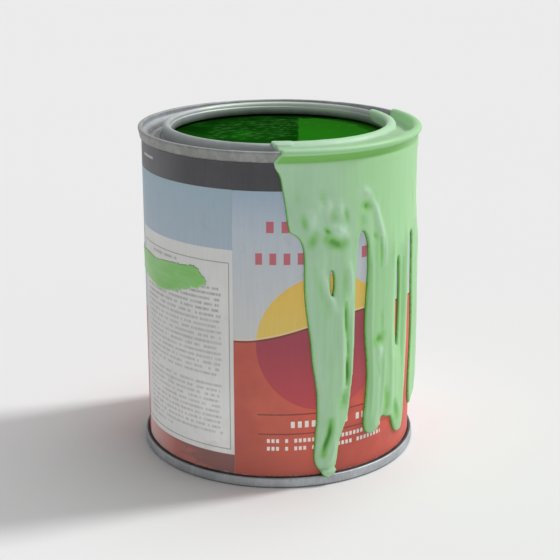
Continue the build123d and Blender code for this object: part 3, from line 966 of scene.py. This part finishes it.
def liquid_paint():
    """The paint left in the tin: a faint swell, and small bubbles on top."""
    radii = np.concatenate([np.arange(0.0, 41.0, 0.45), np.arange(41.0, 53.2, 0.9),
                            [53.2, 53.5, LIQUID_RADIUS]])
    side = [(LIQUID_RADIUS, z) for z in (126.2, 120, 90, 60, 30, 10)]
    outline = np.array([(radius, LEVEL) for radius in radii] + side + LIQUID_UNDER)
    spots = bubble_spots()

    def shape(radius, z, angle):
        x, y, _ = np.moveaxis(around(radius, angle, z), -1, 0)
        bumps = np.zeros_like(radius)
        for at_x, at_y, width, high in spots:
            square = ((x - at_x) ** 2 + (y - at_y) ** 2) / width**2
            bumps += high * np.exp(-square * 1.2) * (square < 9)
        swell = (0.05 * np.sin(x * 0.16 + 0.6) * np.cos(y * 0.13)
                 + 0.03 * np.sin(x * 0.33 - y * 0.21)) * (radius < 45)
        return radius, np.where(z > LEVEL - 0.05, z + np.minimum(bumps, 0.35) + swell, z)

    obj = lathe("liquid_paint", outline, 240, shape)
    x, y, z = np.array([vertex.co for vertex in obj.data.vertices]).T / MM
    top = z > LEVEL - 0.6
    # painted reflection: a large paler patch, straight-sided on its left, seen from the camera,
    # and a smaller paler patch to its left
    across = x * math.cos(CAMERA_TURN) - y * math.sin(CAMERA_TURN)
    away = x * math.sin(CAMERA_TURN) + y * math.cos(CAMERA_TURN)
    edge = np.array([0.5 * noise_at(a * 0.22, b * 0.22) for a, b in zip(across, away)])
    large = (smooth_step(across + edge - 0.02 * away, 7.2, 8.2)
             * (1 - smooth_step(away + edge * 2 + 0.02 * across, 35.0, 37.5)) * 0.78)
    small = np.exp(-(((across + 13.5) / 3.6) ** 2 + ((away - 1) / 6) ** 2)) * 0.38
    froth = np.zeros(len(x))
    for at_x, at_y, width, high in spots:
        square = ((x - at_x) ** 2 + (y - at_y) ** 2) / width**2
        froth = np.maximum(froth, np.exp(-square) * high * 1.35)
    add_attribute(obj.data, "pale_patch", np.maximum(large, small) * top)
    add_attribute(obj.data, "froth", np.clip(froth * top, 0, 0.45))
    return obj


# ---------------------------------------------------------------- spilled paint
# Cross-section of the film, station by station from the lid seat out and down, as (radius,
# height) pairs: under-side, outer side where the channel is full, outer side where it is lined.
STATIONS = np.array([
    (42.385, 127.9, 42.31, 127.75, 42.31, 127.75), (42.385, 129, 42.27, 129, 42.27, 129),
    (42.40, 130.2, 42.25, 130.3, 42.25, 130.3), (42.72, 130.95, 42.32, 131.2, 42.32, 131.2),
    (42.82, 131.6, 42.50, 132, 42.50, 132), (43.30, 132.18, 43.05, 132.72, 43.05, 132.72),
    (44.20, 132.33, 44.10, 133.08, 44.10, 133.08), (45.08, 132.20, 45.05, 132.92, 45.05, 132.88),
    (45.60, 131.60, 45.85, 132.40, 46.05, 132.20), (45.64, 130.4, 46.75, 131.65, 46.38, 131),
    (45.66, 129, 47.60, 131.28, 46.42, 129.5), (45.76, 127.5, 48.50, 131.16, 46.90, 128.4),
    (46.5, 127.14, 49.40, 131.13, 47.80, 128.02), (48.4, 127.13, 50.40, 131.15, 49.20, 127.95),
    (50.6, 127.13, 51.40, 131.24, 50.55, 128.10), (51.55, 127.42, 52.20, 131.42, 51.45, 128.75),
    (52.6, 128.62, 52.85, 131.66, 52.20, 129.95), (53.42, 129.72, 53.35, 131.95, 52.78, 131),
    (53.68, 130.80, 53.80, 132.20, 53.10, 131.85), (53.98, 131.38, 54.30, 132.36, 53.85, 132.32),
    (54.60, 131.53, 54.85, 132.38, 54.60, 132.46), (55.20, 131.50, 55.45, 132.24, 55.40, 132.28),
    (55.52, 131.20, 56.10, 131.80, 56.10, 131.82), (55.50, 130.85, 56.40, 131.15, 56.42, 131.15),
    (55.40, 130.5, 56.28, 130.50, 56.30, 130.50), (55.30, 130, 55.78, 130, 55.80, 130),
    (55.18, 129.4, 55.44, 129.40, 55.46, 129.40), (54.98, 128.5, 55.20, 128.50, 55.22, 128.50),
    (54.78, 127.6, 55.04, 127.70, 55.06, 127.70), (54.40, 127.25, 55.08, 127.10, 55.08, 127.10),
    (54.20, 126.9, 55.18, 126.50, 55.18, 126.50), (54.20, 125.6, 55.22, 125.60, 55.22, 125.60),
    (54.20, 124, 55.20, 124, 55.20, 124),
])
UNDER_PATH, FULL_PATH, LINED_PATH = STATIONS[:, 0:2], STATIONS[:, 2:4], STATIONS[:, 4:6]
WALL_UNDER, WALL_OUTER = 54.20, 55.20  # radii of the film's two sides on the straight wall
# Laid out flat, the film is (arc from the front, length along the full cross-section).
STEPS = np.concatenate([[0], np.cumsum(np.linalg.norm(np.diff(FULL_PATH, axis=0), axis=1))])
WALL_TOP = 124
WALL_FLAT = STEPS[-1]  # the flat position where the straight wall starts, at WALL_TOP
DENSE = np.linspace(0, WALL_FLAT, 400)


def eased(path):
    """A path's values at DENSE, through every station without overshoot."""
    gaps = np.diff(STEPS)
    part = np.clip(np.searchsorted(STEPS, DENSE, "right") - 1, 0, len(gaps) - 1)
    share, gap = (DENSE - STEPS[part]) / gaps[part], gaps[part]
    columns = []
    for values in path.T:
        slopes = np.diff(values) / gaps
        product, total = slopes[:-1] * slopes[1:], slopes[:-1] + slopes[1:]
        middle = np.where(product > 0, 2 * product / np.where(total == 0, 1, total), 0)
        slopes = np.concatenate([slopes[:1], middle, slopes[-1:]])
        columns.append(hermite(share, values[part], values[part + 1],
                               gap * slopes[part], gap * slopes[part + 1]))
    return np.stack(columns, 1)


UNDER, FULL, LINED = eased(UNDER_PATH), eased(FULL_PATH), eased(LINED_PATH)
LIP = np.flatnonzero(FULL[:, 0] >= 56.3)[-1]  # where the film turns in under the rim


def flat_at(station):
    return np.interp(station, np.arange(len(STEPS)), STEPS)


def flat_of(height):
    """Flat position of a height on the outer side, from the rim's lip down."""
    if height <= WALL_TOP:
        return WALL_FLAT + WALL_TOP - height
    return DENSE[LIP + int(np.argmin(np.abs(FULL[LIP:, 1] - height)))]


def wall(points):
    """(position along the side, height) to flat."""
    return [(along - PAINT_TURN, flat_of(z)) for along, z in points]


def over(points):
    """(degrees round from the front, station number) to flat."""
    return [(math.radians(turn) * PAINT_RADIUS, flat_at(station)) for turn, station in points]


OVER_LEFT = [  # the film's left end, from the bead out to the rim: degrees, station
    (-22.6, 3.2), (-23, 5), (-23.1, 6), (-22.8, 7.2), (-22, 8.6), (-21.3, 10), (-20.6, 12.5),
    (-20, 15.5), (-19.3, 18), (-18.9, 19.5), (-18.4, 21), (-18.3, 22.4),
]
RUNS = [  # the runs' edge, from the left end to the right: position along the side, height
    (0.5, 130.6), (-0.5, 129.5), (-1.9, 127.3), (-1.4, 125.5), (-0.3, 123.5), (0.5, 121.5),
    (1, 118.5), (1.3, 117), (2, 113), (2.6, 109), (3, 105.5), (3.6, 102.5), (4.3, 101.2),
    (5.5, 100.6), (6.8, 99.6), (8, 98), (8.8, 96), (9.2, 94), (9.4, 90), (9.5, 80), (9.9, 74),
    (10.5, 69), (11.2, 64), (12, 58), (12.5, 52), (13.2, 47), (14, 42), (14.5, 38), (14.7, 32),
    (14.7, 27), (14.2, 22), (13.9, 17), (13.6, 12), (14, 9), (15, 7), (16, 5.5), (17, 4.2),
    (18.2, 3.3), (19.2, 3.05), (20.5, 3.5), (22, 4.5), (22.8, 6.2), (23.5, 9), (24, 13),
    (24.6, 17), (26, 21), (27.5, 25), (28.5, 29), (29, 33), (29.5, 38), (30, 42), (30.4, 48),
    (30.6, 55), (30.6, 62), (30.8, 70), (30.9, 80), (31.2, 86), (31.4, 90), (31.8, 95),
    (32.5, 98.6), (33.4, 99.6), (34.6, 98.4), (35.8, 95), (36.2, 90), (36.3, 85), (36, 78),
    (35.6, 72), (35.3, 66), (35.3, 60), (35.8, 54), (36.5, 48), (36.9, 42), (36.8, 38),
    (36.2, 30), (35.6, 25), (35.6, 22), (36, 19.5), (36.8, 17.8), (38, 16.9), (39.7, 16.3),
    (41.5, 16.3), (43, 16.9), (44.3, 18.2), (45, 20.2), (45.6, 21.6), (46.5, 21.8),
    (47.8, 21.2), (49.5, 20.5), (51.4, 20), (52.5, 18.5), (53.5, 16), (54.5, 14), (55.5, 12.5),
    (57, 11.5), (58.8, 11.1), (60.8, 11.2), (62, 12.7), (62.5, 15), (63, 18), (63.7, 22),
    (64, 27), (64.4, 32), (64.8, 38), (65.2, 44), (65.5, 50), (65.5, 62), (65.7, 68),
    (65.3, 75), (65.2, 85), (65.5, 89.6), (66.3, 92.2), (67.5, 92.8), (69, 91.8), (69.8, 89),
    (70.3, 84), (71, 75), (72, 66), (73.6, 56), (74, 48), (73, 38), (71.8, 28), (72.4, 21),
    (74.6, 17.2), (78, 15.8), (82, 16.6), (85, 20), (86.6, 26), (87.2, 33), (88.2, 41),
    (90.4, 46.6), (93, 45.4), (95.6, 42), (98, 43), (99.5, 50), (100.2, 60), (101.6, 69),
    (104.2, 74.5), (107, 79), (109.4, 87), (111.4, 96), (113.6, 104), (115.4, 112), (116, 119),
    (115.4, 125.5), (115, 128.6),
]
OVER_RIGHT = [  # the right end, then back along the lid seat: degrees, station
    (100.4, 23.4), (100.9, 21), (101.2, 19.5), (100.6, 17.5), (99.2, 15.5), (98.8, 12.5),
    (99, 10), (100.6, 8.6), (101.3, 7), (101.2, 5.2), (100.4, 4), (99.4, 2.6), (97, 1.2),
    (92, 0.55), (84, 0.35), (74, 0.5), (64, 0.8), (54, 1.3), (44, 1.7), (34, 2.2), (22, 2.5),
    (10, 2.6), (-4, 2.7), (-14, 2.7), (-20.5, 2.8),
]
SLITS = (  # bare gaps in the runs: position along the side, height
    [(19.75, 85.6), (20.2, 86), (20.65, 85.3), (21, 83.4), (21.1, 81), (20.95, 78.6),
     (20.6, 76.6), (20.25, 77), (19.95, 79.4), (19.8, 82.6)],
    [(54.6, 85.4), (55.2, 84), (55.7, 80), (56, 72), (55.9, 62), (55.6, 54), (55, 49.4),
     (54.5, 51.4), (54, 57), (53.8, 64), (53.8, 72), (54.1, 80)],
)
# Ridges (+) and folds (-): points on the wall, height, half width, and how far painted shade
# deepens the colour there (or, below zero, how far a painted highlight pales it).
FEATURES = [
    ([(9, 107.2), (10, 103.2)], -0.45, 1.1, 0.55),
    ([(13.5, 100.3), (12.7, 98.6), (11.9, 96.6)], -0.5, 1.5, 0.6),
    ([(12.4, 108.8), (12.9, 103.4)], 0.60, 1.6, -0.95),
    ([(17.6, 102.3), (19.2, 100.5)], -0.6, 0.9, 0.8),
    ([(21.3, 102), (23.3, 100.8), (24.8, 99.6)], 1, 1.9, -1),
    ([(18.2, 98.5), (20.7, 97), (23.4, 95.8), (24.6, 96.1)], -0.8, 1.8, 0.80),
    ([(25.4, 108.9), (26.1, 104.5)], -0.35, 0.9, 0.45),
    ([(20.8, 108.6), (20.9, 105.6)], -0.3, 1.5, 0.35),
    ([(18.6, 112.2), (18.6, 108.4)], 0.40, 1.3, -0.65),
    ([(14.6, 113.8), (15, 109.8)], 0.35, 1.1, -0.5),
    ([(44.6, 97), (45, 91.4), (45.1, 85)], 0.25, 0.8, -0.5),
    ([(22.8, 111.8), (23.2, 106.9)], 0.4, 1.4, -0.6),
    ([(16.1, 116.5), (16.1, 112.8)], -0.25, 1.4, 0.25),
    ([(6.9, 116.6), (7.1, 113.2)], -0.2, 1.2, 0.2),
    ([(32, 114.8), (33.9, 115.1), (36.3, 113.1)], 0.4, 1.3, -0.7),
    ([(33.5, 109.5), (35.7, 108.6)], -0.7, 1.5, 0.74),
    ([(37.3, 111), (39.4, 107.3), (41.2, 102.2), (42.6, 98.2), (43.2, 92.6)], 0.6, 1.15, -0.8),
    ([(32.9, 106.4), (33.1, 101)], -0.25, 1.6, 0.3),
    ([(42.1, 95.6), (42.5, 90), (42.3, 84.6)], -0.4, 0.7, 0.6),
    ([(39, 97.7), (39.8, 95.8)], -0.35, 0.9, 0.5),
    ([(38.5, 105.5), (39.6, 95.3), (39.8, 86.7)], -0.25, 1.6, 0.1),
    ([(13.4, 86.9), (14.9, 81.8), (16.5, 77.7), (17.7, 73)], -0.3, 1.5, 0.22),
    ([(16.2, 86.3), (18.2, 80.3), (20.1, 75.4), (21.7, 70.5)], 0.45, 1.1, -0.6),
    ([(25.8, 85.2), (25.6, 80.5), (25.7, 75.5)], -0.35, 1.1, 0.35),
    ([(27.1, 88.5), (28, 84.9), (28.4, 80.1), (28.4, 74.6)], 0.4, 0.8, -0.6),
    ([(25.8, 73.1), (26.1, 68.3), (26.3, 63.5), (26.7, 59.5)], -0.7, 0.75, 0.85),
    ([(26.8, 59.4), (27.2, 55), (27.2, 50.9)], -0.4, 0.5, 0.75),
    ([(27.1, 51), (27.2, 46.9), (27.3, 43.6), (27, 40.4)], -0.9, 0.75, 1),
    ([(26, 37.3), (25.6, 34.1), (25.1, 31.3)], -0.35, 1.3, 0.55),
    ([(17.6, 75.7), (18.2, 68.6)], -0.2, 1.6, 0.2),
    ([(20.3, 26.3), (20.2, 23.5), (19.9, 21), (18.7, 17.6), (17.7, 14.7), (17.3, 12.6)],
     -1, 1.15, 1),
    ([(22.3, 18.1), (21.3, 13.2), (19.7, 9.7), (17.4, 10.3)], 0.5, 0.8, 0),
    ([(16.5, 23.2), (15.9, 14.9)], 0.35, 1, -0.3),
    ([(43.6, 56.4), (42.2, 55.3), (40.5, 54.6)], -0.75, 1.9, 0.74),
    ([(43.2, 66), (43.5, 61.9), (43.4, 58.3)], -0.25, 1, 0.3),
    ([(42.5, 52.4), (42.6, 48.3)], 0.4, 1.3, -0.8),
    ([(41.4, 46.9), (41.9, 40.6), (42.2, 32.2), (41.9, 20)], 0.2, 1.2, -0.4),
    ([(41.6, 45.6), (42.5, 40)], -0.25, 0.6, 0.3),
    ([(46.6, 33.4), (47.5, 30.1), (47.7, 26.7), (47.7, 22.9)], -0.35, 1.4, 0.6),
    ([(53.6, 26), (55, 22.1), (56, 18.6)], -0.4, 1.2, 0.65),
    ([(24.4, 66), (24.6, 58), (24.8, 48), (24.6, 38)], 0.40, 1, -0.25),
    ([(29, 70), (28.9, 52), (28.3, 40), (27.4, 30)], 0.40, 0.8, 0),
    ([(12, 90), (12.2, 76), (13.6, 58), (15.6, 44), (16.4, 32)], 0.28, 1.4, -0.20),
    ([(38, 90), (38, 76), (37.9, 62), (38.7, 50), (39.4, 38), (38.6, 24)], 0.45, 1.1, 0),
    ([(45.4, 50), (45.2, 40), (44.4, 30), (43.4, 22)], 0.40, 0.9, 0),
    ([(50.2, 92), (50.4, 74), (50, 56), (50.6, 40), (50.8, 26)], 0.45, 1.3, 0),
    ([(60.4, 96), (60.6, 76), (60.4, 52), (60, 32), (59.4, 16)], 0.55, 1.6, 0),
    ([(57.9, 84), (58.2, 62), (58, 40)], -0.30, 1, 0.25),
    ([(78, 92), (79, 66), (80, 44), (79.4, 24)], 0.60, 2.4, -0.30),
    ([(83.6, 70), (83.2, 52), (83, 38)], -0.55, 1, 0.70),
    ([(92.6, 104), (93.4, 80), (94, 58)], 0.60, 2.6, -0.20),
    ([(86, 100), (86.6, 80), (87, 62)], -0.45, 1.9, 0.30),
    ([(98.4, 110), (99.4, 98), (101, 84)], -0.40, 2, 0.28),
    ([(103, 112), (104.6, 98), (106, 88)], 0.55, 2, -0.25),
    ([(67.6, 112), (68, 100)], -0.25, 1.6, 0.20),
]
# The runs' thickened lower ends: position and half width, height and half height, weight.
TIPS = ((19, 5, 9, 6, 1), (40.6, 5, 20.5, 5, 0.8), (58.6, 4.5, 15.5, 5, 0.8))


def ridges_and_folds(places, on_wall):
    """Height, painted shade and painted highlight that FEATURES give at (along, height) places."""
    relief, hollow, crest = np.zeros((3, len(places)))
    for points, high, half, deepen in FEATURES:
        line = curve_through(points, 1.0, closed=False)
        low, top = line.min(0) - half * 3.2, line.max(0) + half * 3.2
        near = on_wall & (places > low).all(1) & (places < top).all(1)
        if not near.any():
            continue
        dist, foot = nearest_on(line, places[near], closed=False)
        ends = np.minimum(*(np.linalg.norm(foot - end, axis=1) for end in (line[0], line[-1])))
        length = np.linalg.norm(np.diff(line, axis=0), axis=1).sum()
        taper = 0.35 + 0.65 * smooth_step(ends, 0.0, min(5.0, length / 3))
        relief[near] += high * np.exp(-((dist / half) ** 2)) * taper
        tint = np.exp(-((dist / (half * 1.25)) ** 2)) * (0.5 + 0.5 * taper)
        shade = hollow if deepen > 0 else crest
        shade[near] = np.maximum(shade[near], abs(deepen) * tint)
    return relief, hollow, crest


def spill_place(points, dist, near):
    arc, flat = points.T
    angle = arc / PAINT_RADIUS
    turn = np.degrees(angle)
    along = arc + PAINT_TURN
    height = WALL_TOP - (flat - WALL_FLAT)
    on_wall = flat >= WALL_FLAT

    def side(path, wall_radius):
        """(radius, height) of one side of the film."""
        radius, z = (np.interp(flat, DENSE, values) for values in path.T)
        return np.stack([np.where(on_wall, wall_radius, radius),
                         np.where(on_wall, height, z)], 1)

    # towards the right the channel is only lined with paint
    lined = smooth_step(turn + 1.5 * waves(points, (0.15, 0), 3), 52.0, 68.0)
    under = side(UNDER, WALL_UNDER)
    outer = (side(FULL, WALL_OUTER) * (1 - lined)[:, None]
             + side(LINED, WALL_OUTER) * lined[:, None])

    # the film rises to its full thickness over this distance from its edge
    stops = [*(flat_at(k) for k in (0, 3, 6, 9, 18, 24)), WALL_FLAT, WALL_FLAT + 10,
             WALL_FLAT + 40]
    reach = np.interp(flat, stops, [0.5, 0.7, 0.9, 2.2, 2.2, 1, 1, 1.1, 1.5])
    channel = (flat > flat_at(9)) & (flat < flat_at(18))
    reach = np.where(channel, reach * (1 - lined) + lined, reach)
    rise = np.sqrt(np.maximum(0, 1 - (1 - np.clip(dist / reach, 0, 1)) ** 2))

    # the runs bulge lower down, the right one most, and at their tips
    low = smooth_step(-height, -108, -88) * on_wall
    right = smooth_step(along, 64, 76)
    bulge = 0.62 * smooth_step(dist, 0.8, 6.5) * low
    bulge = bulge * (1 + 0.5 * right * smooth_step(-height, -90, -45)) - right * (1 - low) * 0.30
    tip = sum(weight * np.exp(-((along - at) / half) ** 2) * np.exp(-((height - up) / tall) ** 2)
              for at, half, up, tall, weight in TIPS)
    bulge = bulge + 0.55 * tip * smooth_step(dist, 0, 3)

    places = np.stack([along, height], 1)
    relief, hollow, crest = ridges_and_folds(places, on_wall)
    # slow unevenness, drawn out downwards
    drawn = waves(places, (0.22, 0.045), 11) * 0.16 + waves(places, (0.5, 0.10), 5) * 0.07
    lumps = (waves(places, (0.30, 0.22), 21) * 0.22 * np.exp(-(((height - 103) / 10) ** 2))
             * (along < 34))
    relief += (drawn + lumps) * on_wall * (0.35 + 0.65 * low)
    wall_thick = rise * (1 + bulge + np.maximum(relief, -0.62) * smooth_step(dist, 0.2, 1.6))
    rim_thick = rise * (1 + waves(points, (0.16, 0.2), 31) * 0.10)
    thick = np.where(on_wall, wall_thick, rim_thick)
    # the slab at the film's left end is a little thicker on the bead
    bead = (flat > flat_at(3)) & (flat < flat_at(9))
    thick = thick + 0.22 * (1 - smooth_step(turn, -13.6, -12.6)) * bead * rise
    place = under + (outer - under) * thick[:, None]

    # the first run's end is pulled out over the bottom seam's edge, clear of its roof
    push = on_wall * smooth_step(-height, -7.5, -4) * (0.35 + 0.65 * rise)
    seam = push > 0.3
    place[:, 0] = np.where(seam, np.maximum(place[:, 0], 56.10 + 0.75 * rise), place[:, 0])
    under[:, 0] = np.minimum(np.where(seam, 56.08, under[:, 0]), place[:, 0])

    # painted shade: the left-facing edges, turned from the key light, are deepened to dark green
    away = (arc - near[:, 0]) / np.maximum(dist, 1e-6)
    facing = np.where(dist > 1e-6, smooth_step(away, 0, 0.7), 0.75)
    hollow = np.maximum(hollow, np.exp(-((dist / 0.62) ** 2)) * facing * on_wall)
    # painted shade: a deep green band in the recess under the rim's lip
    neck = (smooth_step(flat, STEPS[25] - 0.35, STEPS[25] + 0.1)
            * (1 - smooth_step(flat, STEPS[28] + 0.25, STEPS[29] + 0.35))
            * (1 - 0.45 * smooth_step(along, 45, 70)) * smooth_step(dist, 0.1, 1.4))
    values = {"hollow": hollow, "neck": neck, "crest": crest}
    return around(under[:, 0], angle, under[:, 1]), around(place[:, 0], angle, place[:, 1]), values


def run_paint():
    outline = over(OVER_LEFT) + wall(RUNS) + over(OVER_RIGHT)
    loops = [curve_through(outline, 0.7)] + [curve_through(wall(slit), 0.4) for slit in SLITS]
    return film("run_paint", loops, (0.50, 0.50), spill_place)


# ------------------------------------------------------------------ the smear
SMEAR = [  # outline: position along the side, height
    (-28.2, 80.5), (-29, 81.8), (-30.4, 83.2), (-31.6, 84.4), (-33.2, 85.9), (-36, 85.9),
    (-40, 85.4), (-44, 85.3), (-48, 84.9), (-52, 84.6), (-56, 84), (-60, 84), (-65, 84.5),
    (-70, 84.3), (-75, 83.6), (-80, 83.2), (-86, 83.8), (-91, 83.2), (-94.5, 81.2), (-96.6, 79),
    (-95.4, 76.8), (-91, 75), (-86, 74.4), (-80, 73.9), (-75, 74.2), (-70, 73.9), (-64, 73.3),
    (-60, 72.7), (-57, 72.4), (-52, 72.6), (-48, 73.2), (-44, 74.2), (-40, 75.3), (-37.5, 76.1),
    (-35, 76.9), (-32, 77.5), (-29.6, 78.9),
]


def smear_place(points, dist, _near):
    arc, z = points.T
    hair = waves(points, (0.05, 1.5), 4) * 0.6 + waves(points, (0.12, 3.4), 9) * 0.4
    middle = np.clip(dist / 2.4, 0, 1)
    ridge = np.exp(-((dist - 0.9) / 0.55) ** 2) * 0.07
    rise = smooth_step(dist, -0.9, 0.9) * np.sqrt(np.clip(dist / 0.25, 0, 1))
    wet = 0.19 + 0.16 * np.exp(-((arc + 52) / 6) ** 2)
    thick = rise * np.maximum(0.10, wet + hair * 0.025 * (0.5 + 0.5 * middle) + ridge)
    radius = np.full(len(points), 54.18)
    left_end = smooth_step(-arc - 0.55 * (z - 78), 70, 104) * smooth_step(82 - z, -3, 6)
    thin = (np.clip(0.05 - hair * 0.12, 0, 1) + 0.75 * np.exp(-((dist / 0.42) ** 2))
            + 0.9 * left_end)
    sides = [around(side, arc / LABEL_RADIUS, z) for side in (radius, radius + thick)]
    return *sides, {"thin": np.clip(thin, 0, 1)}


def wiped_paint():
    """A thin brushed smear with a ragged edge."""
    loop = curve_through([(along - LABEL_TURN, z) for along, z in SMEAR], 0.35)
    lengths = np.concatenate([[0], np.cumsum(np.linalg.norm(np.diff(loop, axis=0), axis=1))])
    ragged = np.array([noise_at(at * 0.75, 2) * 0.75 + noise_at(at * 1.5, 8) * 0.40
                       for at in lengths])
    ragged *= 0.35 + 0.65 * smooth_step(loop[:, 0], -68, -58)
    step = np.roll(loop, -1, 0) - np.roll(loop, 1, 0)
    across = np.stack([step[:, 1], -step[:, 0]], 1) / np.linalg.norm(step, axis=1)[:, None]
    loop += across * ragged[:, None] * 1.15
    return film("wiped_paint", [loop], (0.45, 0.26), smear_place)


# ------------------------------------------------------- finishes and riding
PIECES = (  # builder, material, CAD node it replaces, slot
    (lever_ring, "ring", "top_ring", "tinplate_ring"),
    (seamed_end, "end", "bottom_end", "tinplate_end"),
    (paper_label, "paper", "label", "printed_paper"),
    (liquid_paint, "liquid", "paint_fill", "wet_paint"),
    (run_paint, "run", "paint_spill", "skinned_paint"),
    (wiped_paint, "wiped", "paint_smear", "brushed_paint"),
)
KEPT_NODES = (("body_shell", "body"), ("top_seam_compound", "compound"),
              ("bottom_seam_compound", "compound"), ("label_paste", "paste"))

objects = [build() for build, *_ in PIECES]
materials = {
    "ring": ring_metal(),
    "end": end_metal(),
    "body": body_metal(),
    "compound": compound(),
    "paste": paste(),
    "paper": printed_paper(),
    "liquid": wet_paint(),
    "run": skinned_paint(),
    "wiped": brushed_paint(),
}
for piece, (_, material, node, slot) in zip(objects, PIECES):
    piece.data.materials.append(materials[material])
    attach(piece, "root")
    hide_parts(node)

for node, material in KEPT_NODES:
    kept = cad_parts[node]
    if not kept.material_slots:
        kept.data.materials.append(materials[material])
    for kept_slot in kept.material_slots:
        kept_slot.material = materials[material]


# ----------------------------------------------------- stage and light, in metres
def studio_floor(half=9.0, cells=24):
    mesh = bpy.data.meshes.new("studio_floor")
    marks = np.linspace(-half, half, cells + 1)
    row = cells + 1
    starts = [i * row + j for i in range(cells) for j in range(cells)]
    faces = [(k, k + row, k + row + 1, k + 1) for k in starts]
    mesh.from_pydata([(x, y, 0.0) for x in marks for y in marks], [], faces)
    mesh.materials.append(floor_look())
    obj = bpy.data.objects.new("studio_floor", mesh)
    bpy.context.scene.collection.objects.link(obj)


def sun(name, azimuth, elevation, strength, size):
    """A soft distant light; azimuth counts from +X towards +Y, all angles in degrees."""
    data = bpy.data.lights.new(name, "SUN")
    data.energy = strength
    data.angle = math.radians(size)
    obj = bpy.data.objects.new(name, data)
    turn, rise = math.radians(azimuth), math.radians(elevation)
    flat = math.cos(rise)
    towards = Vector((math.cos(turn) * flat, math.sin(turn) * flat, math.sin(rise)))
    obj.rotation_euler = towards.to_track_quat("Z", "Y").to_euler()
    bpy.context.scene.collection.objects.link(obj)


def soft_room():
    """White surroundings, brightest at the horizon and dim overhead."""
    world = bpy.data.worlds.new("soft_room")
    bpy.context.scene.world = world
    world.use_nodes = True
    nodes, link = world.node_tree.nodes, world.node_tree.links.new
    nodes.clear()
    out = nodes.new("ShaderNodeOutputWorld")
    background = nodes.new("ShaderNodeBackground")
    place = nodes.new("ShaderNodeTexCoord")
    split = nodes.new("ShaderNodeSeparateXYZ")
    fade = nodes.new("ShaderNodeMapRange")
    link(place.outputs["Generated"], split.inputs[0])
    link(split.outputs["Z"], fade.inputs[0])
    # upward direction 0 to 0.85 becomes strength 0.91 to 0.10
    for i, value in enumerate((0, 0.85, 0.91, 0.10), 1):
        fade.inputs[i].default_value = value
    link(fade.outputs[0], background.inputs["Strength"])
    background.inputs["Color"].default_value = (1, 1, 1, 1)
    link(background.outputs[0], out.inputs[0])


def add_camera():
    camera = bpy.data.cameras.new("camera")
    camera.lens = 85
    camera.sensor_width = 36
    camera.clip_start = 0.01
    camera.clip_end = 50
    obj = bpy.data.objects.new("camera", camera)
    obj.location = (-0.17084, -0.48784, 0.22969)
    obj.rotation_euler = (math.radians(72.4685), 0, -0.33795)
    bpy.context.scene.collection.objects.link(obj)
    bpy.context.scene.camera = obj


studio_floor()
sun("key", azimuth=0, elevation=48, strength=1.88, size=8)
sun("overhead", azimuth=16, elevation=75, strength=0.98, size=35)
soft_room()
add_camera()

view = bpy.context.scene.view_settings
view.view_transform = "Standard"
view.look = "None"
view.exposure = 0
view.gamma = 1
